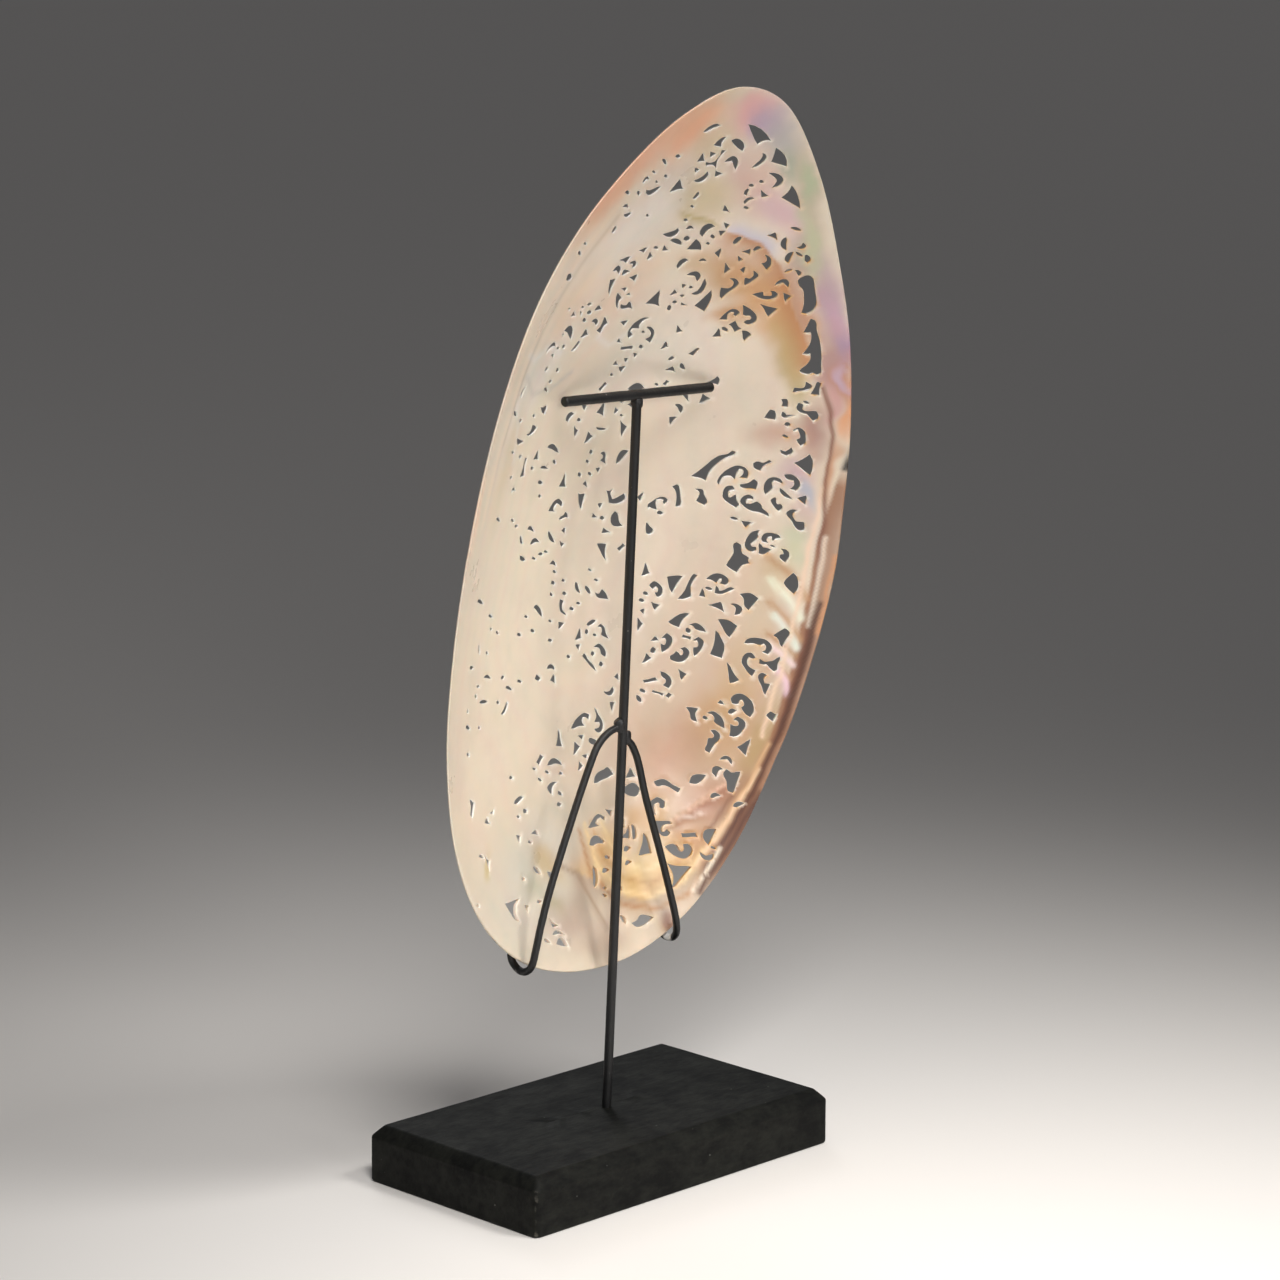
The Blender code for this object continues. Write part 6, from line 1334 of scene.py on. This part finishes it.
def buildBlock(material):
    # rings of a rounded rectangle from the middle of the underside, up the sides, over the
    # softened edges and the sloped border, to the middle of the top
    long, deep, high = block["size"]
    c, e = block["chamfer"], block["soften"]
    turns = np.linspace(0, 1, 5)
    profile = [(inset, 0.0) for inset in (36.9, 30, 22, 14, 7, 3)]
    profile += [(0.9 * (1 - math.sin(a * math.pi / 2)), 0.9 * (1 - math.cos(a * math.pi / 2))) for a in turns]
    profile += [(0.0, z) for z in (4.0, 7.5, 11.0)]
    lowTurn = [(e * 0.6 * u ** 2, high - c - e + e * 1.4 * u) for u in turns]
    highTurn = [(c - e * 0.6 + e * 1.5 * u, high - e * 0.6 * (1 - u) ** 2) for u in turns]
    profile += lowTurn + [(c * 0.5 + 0.1, high - c * 0.5 + 0.1)] + highTurn
    profile += [(inset, high) for inset in (6, 9, 13, 18, 24, 30, 36.9)]
    rows = []
    for inset, z in profile:
        radius = max(block["corner"] - inset * 0.35, 0.05) if z > 3 else block["corner"]
        ring = roundedRow(long / 2 - inset, deep / 2 - inset, radius, 22, 6)
        rows.append(np.column_stack([ring, np.full(len(ring), z)]))
    turnsCount = len(rows[0])
    points = np.vstack(rows)
    side = np.clip(np.minimum(points[:, 2], high - points[:, 2]) / 2, 0, 1)
    out = normalised(np.column_stack([points[:, :2] / (long / 2, deep / 2), np.zeros(len(points))]) ** 5)
    points = points + out * (0.07 * wavyNoise(points, 22, 51) * side)[:, None]
    top = np.clip((points[:, 2] - 14) / 4, 0, 1) * (points[:, 2] < high + 1)
    points[:, 2] += top * 0.06 * (wavyNoise(points[:, :2], 20, 52) - 0.6)
    quads = tubeGrid(len(rows), turnsCount)
    points, faces = closeEnds(points, quads, turnsCount)
    piece = makeMesh("wooden_block", points, faces, material, sharp=28)
    # wear: most on the upright corners and on the edges of the sloped border
    x, y, z = points.T
    corner = np.exp(-(((abs(x) - long / 2) / 1.5) ** 2 + ((abs(y) - deep / 2) / 1.5) ** 2))
    border = np.exp(-((z - (high - c)) / 0.7) ** 2) * 0.45
    rimTop = np.exp(-((np.minimum(long / 2 - abs(x), deep / 2 - abs(y)) - c) / 0.8) ** 2) * (z > 17) * 0.4
    front = 1.0 + 0.5 * ((x < 0) & (y < 0))
    wear_and_glint = np.clip((corner * 0.9 * front + border + rimTop) * (0.7 + 0.5 * wavyNoise(points, 12, 53)), 0, 1)
    layer = piece.data.attributes.new("wear_and_glint", "FLOAT", "POINT")
    layer.data.foreach_set("value", wear_and_glint)
    return piece


wires = {
    "radius": 1.45,
    "barRadius": 1.55,
    "hookRadius": 1.15,
    "postFoot": (0.33, -1.41, 18.0),
    "postTop": (-0.76, -13.95, 240.15),
    "barLeft": (-30.79, -13.30, 242.19),
    "barRight": (30.87, -14.60, 241.41),
    "leftHook": [
        (-1.2, -8.2, 140.4), (-2.3, -8.2, 140.1), (-6.3, -8.1, 138.9), (-10.1, -8.2, 136.4),
        (-13.2, -8.2, 132.0), (-19.8, -7.8, 117.8), (-28.6, -6.9, 96.2), (-32.6, -6.4, 84.0),
        (-34.2, -5.8, 76.5), (-34.6, -4.4, 71.0), (-34.4, -1.6, 68.4), (-34.3, 1.6, 68.2),
        (-34.6, 4.2, 70.4), (-34.9, 4.8, 73.2)],
    "rightHook": [
        (1.0, -7.9, 137.0), (2.75, -7.95, 134.8), (4.2, -8.1, 133.0), (6.6, -8.2, 127.6),
        (10.2, -8.0, 115.9), (17.1, -7.3, 98.2), (22.3, -6.6, 84.5), (25.6, -6.0, 75.4),
        (27.4, -4.9, 70.0), (28.4, -2.4, 67.3), (28.8, 0.8, 66.7), (29.0, 3.6, 67.8),
        (29.0, 4.8, 70.4)],
}


def buildWires(material):
    foot, top = np.array(wires["postFoot"]), np.array(wires["postTop"])
    way = normalised(top - foot)
    u = np.linspace(0, 1, 40)[:, None]
    line = foot - way * 11.6 + (top + way * 0.9 - foot + way * 11.6) * u
    post = rod("post_rod", line, wires["radius"], material, bump=0.025, seed=61, dome=0.3)
    left, right = np.array(wires["barLeft"]), np.array(wires["barRight"])
    u = np.linspace(0, 1, 120)[:, None]
    line = left + (right - left) * u
    bar = rod("cross_rod", line, wires["barRadius"], material, bump=0.04, seed=62, dome=0.5)
    pieces = [(post, "post"), (bar, "crossbar")]
    for name, key, target, seed in (("left_hook_rod", "leftHook", "hook_left", 63),
                                    ("right_hook_rod", "rightHook", "hook_right", 64)):
        path = smoothPath(wires[key], 8)
        hook = rod(name, path, wires["hookRadius"], material, bump=0.03, seed=seed, dome=0.6)
        pieces.append((hook, target))
    # two painted spots: a nick on the bar where the paint is gone, and a painted highlight inside the right
    # hook's bend
    for piece, spot, reach, share in ((bar, (-14.4, -14.6, 243.0), 0.7, 0.5),
                                      (pieces[3][0], (28.2, -0.6, 68.0), 2.6, 1.0)):
        mesh = piece.data
        rows = np.empty(len(mesh.vertices) * 3)
        mesh.vertices.foreach_get("co", rows)
        away = rows.reshape(-1, 3) * 1000 - spot
        layer = mesh.attributes.new("wear_and_glint", "FLOAT", "POINT")
        layer.data.foreach_set("value", share * np.exp(-(away ** 2).sum(axis=1) / reach ** 2))
    beads = [
        blob("weld_top", np.array((-0.6, -13.8, 239.7)), (1.9, 1.6, 2.3), material, 71, axis=way),
        blob("weld_left", np.array((-1.7, -8.2, 140.5)), (1.9, 1.7, 2.3), material, 72, axis=way),
        blob("weld_right", np.array((1.3, -8.0, 136.3)), (1.8, 1.7, 2.4), material, 73, axis=way),
    ]
    return pieces, beads


cameraFit = {
    "place": (-0.8024, -0.8056, 0.3869),
    "azimuth": -45.427,
    "pitch": 11.016,
    "roll": 0.353,
    "lens": 36.0 * 3817.27 / 1280,
}


def buildCamera():
    # right, up and back axes from azimuth, pitch (down) and a small roll
    a, p, r = (math.radians(cameraFit[k]) for k in ("azimuth", "pitch", "roll"))
    right = Vector((math.cos(a), math.sin(a), 0))
    ahead = Vector((-math.sin(a) * math.cos(p), math.cos(a) * math.cos(p), -math.sin(p)))
    up = right.cross(ahead)
    x = right * math.cos(r) + up * math.sin(r)
    y = up * math.cos(r) - right * math.sin(r)
    data = bpy.data.cameras.new("photo_camera")
    data.lens = cameraFit["lens"]
    data.sensor_width = 36.0
    data.clip_start = 0.05
    eye = bpy.data.objects.new("photo_camera", data)
    turn = Matrix((x, y, -ahead)).transposed().to_4x4()
    eye.matrix_world = Matrix.Translation(cameraFit["place"]) @ turn
    bpy.context.scene.collection.objects.link(eye)
    bpy.context.scene.camera = eye


studio = {
    "floor": (0.82, 0.79, 0.76),
    "world": (0.9, 0.9, 0.92),
    "worldStrength": 0.12,
    # name, place, aim, size, spread of the beam in degrees, power in watts, colour
    "lamps": [
        ("top_left", (-0.50, -0.72, 1.00), (-0.10, -0.23, 0.0), 0.40, 46, 0.92, (1.0, 0.98, 0.95)),
        ("top_right", (0.25, -0.70, 1.00), (0.02, -0.22, 0.0), 0.40, 44, 0.62, (1.0, 0.98, 0.95)),
        ("back", (0.55, 0.90, 0.80), (0, 0, 0.17), 0.60, 30, 0.13, (0.97, 0.98, 1.0)),
        ("front_left", (-0.85, -1.10, 0.50), (0, 0, 0.22), 0.80, 24, 0.235, (1.0, 0.98, 0.96)),
        ("front_mid", (-0.25, -1.38, 0.52), (0, 0, 0.22), 0.80, 24, 0.235, (1.0, 0.98, 0.96)),
        ("front_right", (0.40, -1.30, 0.50), (0, 0, 0.22), 0.80, 24, 0.185, (1.0, 0.98, 0.96)),
    ],
}


def buildStudio():
    mesh = bpy.data.meshes.new("floor")
    mesh.from_pydata([(-40, -40, 0), (40, -40, 0), (40, 40, 0), (-40, 40, 0)], [], [(0, 1, 2, 3)])
    floor = bpy.data.objects.new("floor", mesh)
    bpy.context.scene.collection.objects.link(floor)
    material, tree, shader = newMaterial("floor_paint")
    shader.inputs["Base Color"].default_value = (*studio["floor"], 1.0)
    shader.inputs["Roughness"].default_value = 0.8
    mesh.materials.append(material)
    for name, place, aim, size, spread, power, colour in studio["lamps"]:
        data = bpy.data.lights.new(name, "AREA")
        data.shape = "DISK"
        data.size = size
        data.spread = math.radians(spread)
        data.energy = power
        data.color = colour
        lamp = bpy.data.objects.new(name, data)
        lamp.location = place
        lamp.rotation_euler = (Vector(aim) - Vector(place)).to_track_quat("-Z", "Y").to_euler()
        bpy.context.scene.collection.objects.link(lamp)
    world = bpy.data.worlds.new("studio")
    world.use_nodes = True
    sky = world.node_tree.nodes["Background"]
    sky.inputs["Color"].default_value = (*studio["world"], 1.0)
    sky.inputs["Strength"].default_value = studio["worldStrength"]
    bpy.context.scene.world = world
    bpy.context.scene.view_settings.view_transform = "Standard"


buildCamera()
buildStudio()
print("camera and lamps placed")

pearlCoat, wireCoat, woodCoat = pearlMaterial(), wireMaterial(), woodMaterial()
wooden = buildBlock(woodCoat)
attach(wooden, "root")
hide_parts("base")
rods, beads = buildWires(wireCoat)
for piece, target in rods:
    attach(piece, "root")
    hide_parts(target)
for piece in beads:
    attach(piece, "root")
print("stand built")

valve, flatOf, level = buildShell(pearlCoat)
paintShell(valve, flatOf, level)
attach(valve, "root")
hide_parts("shell")
print("shell built:", len(valve.data.polygons), "faces")
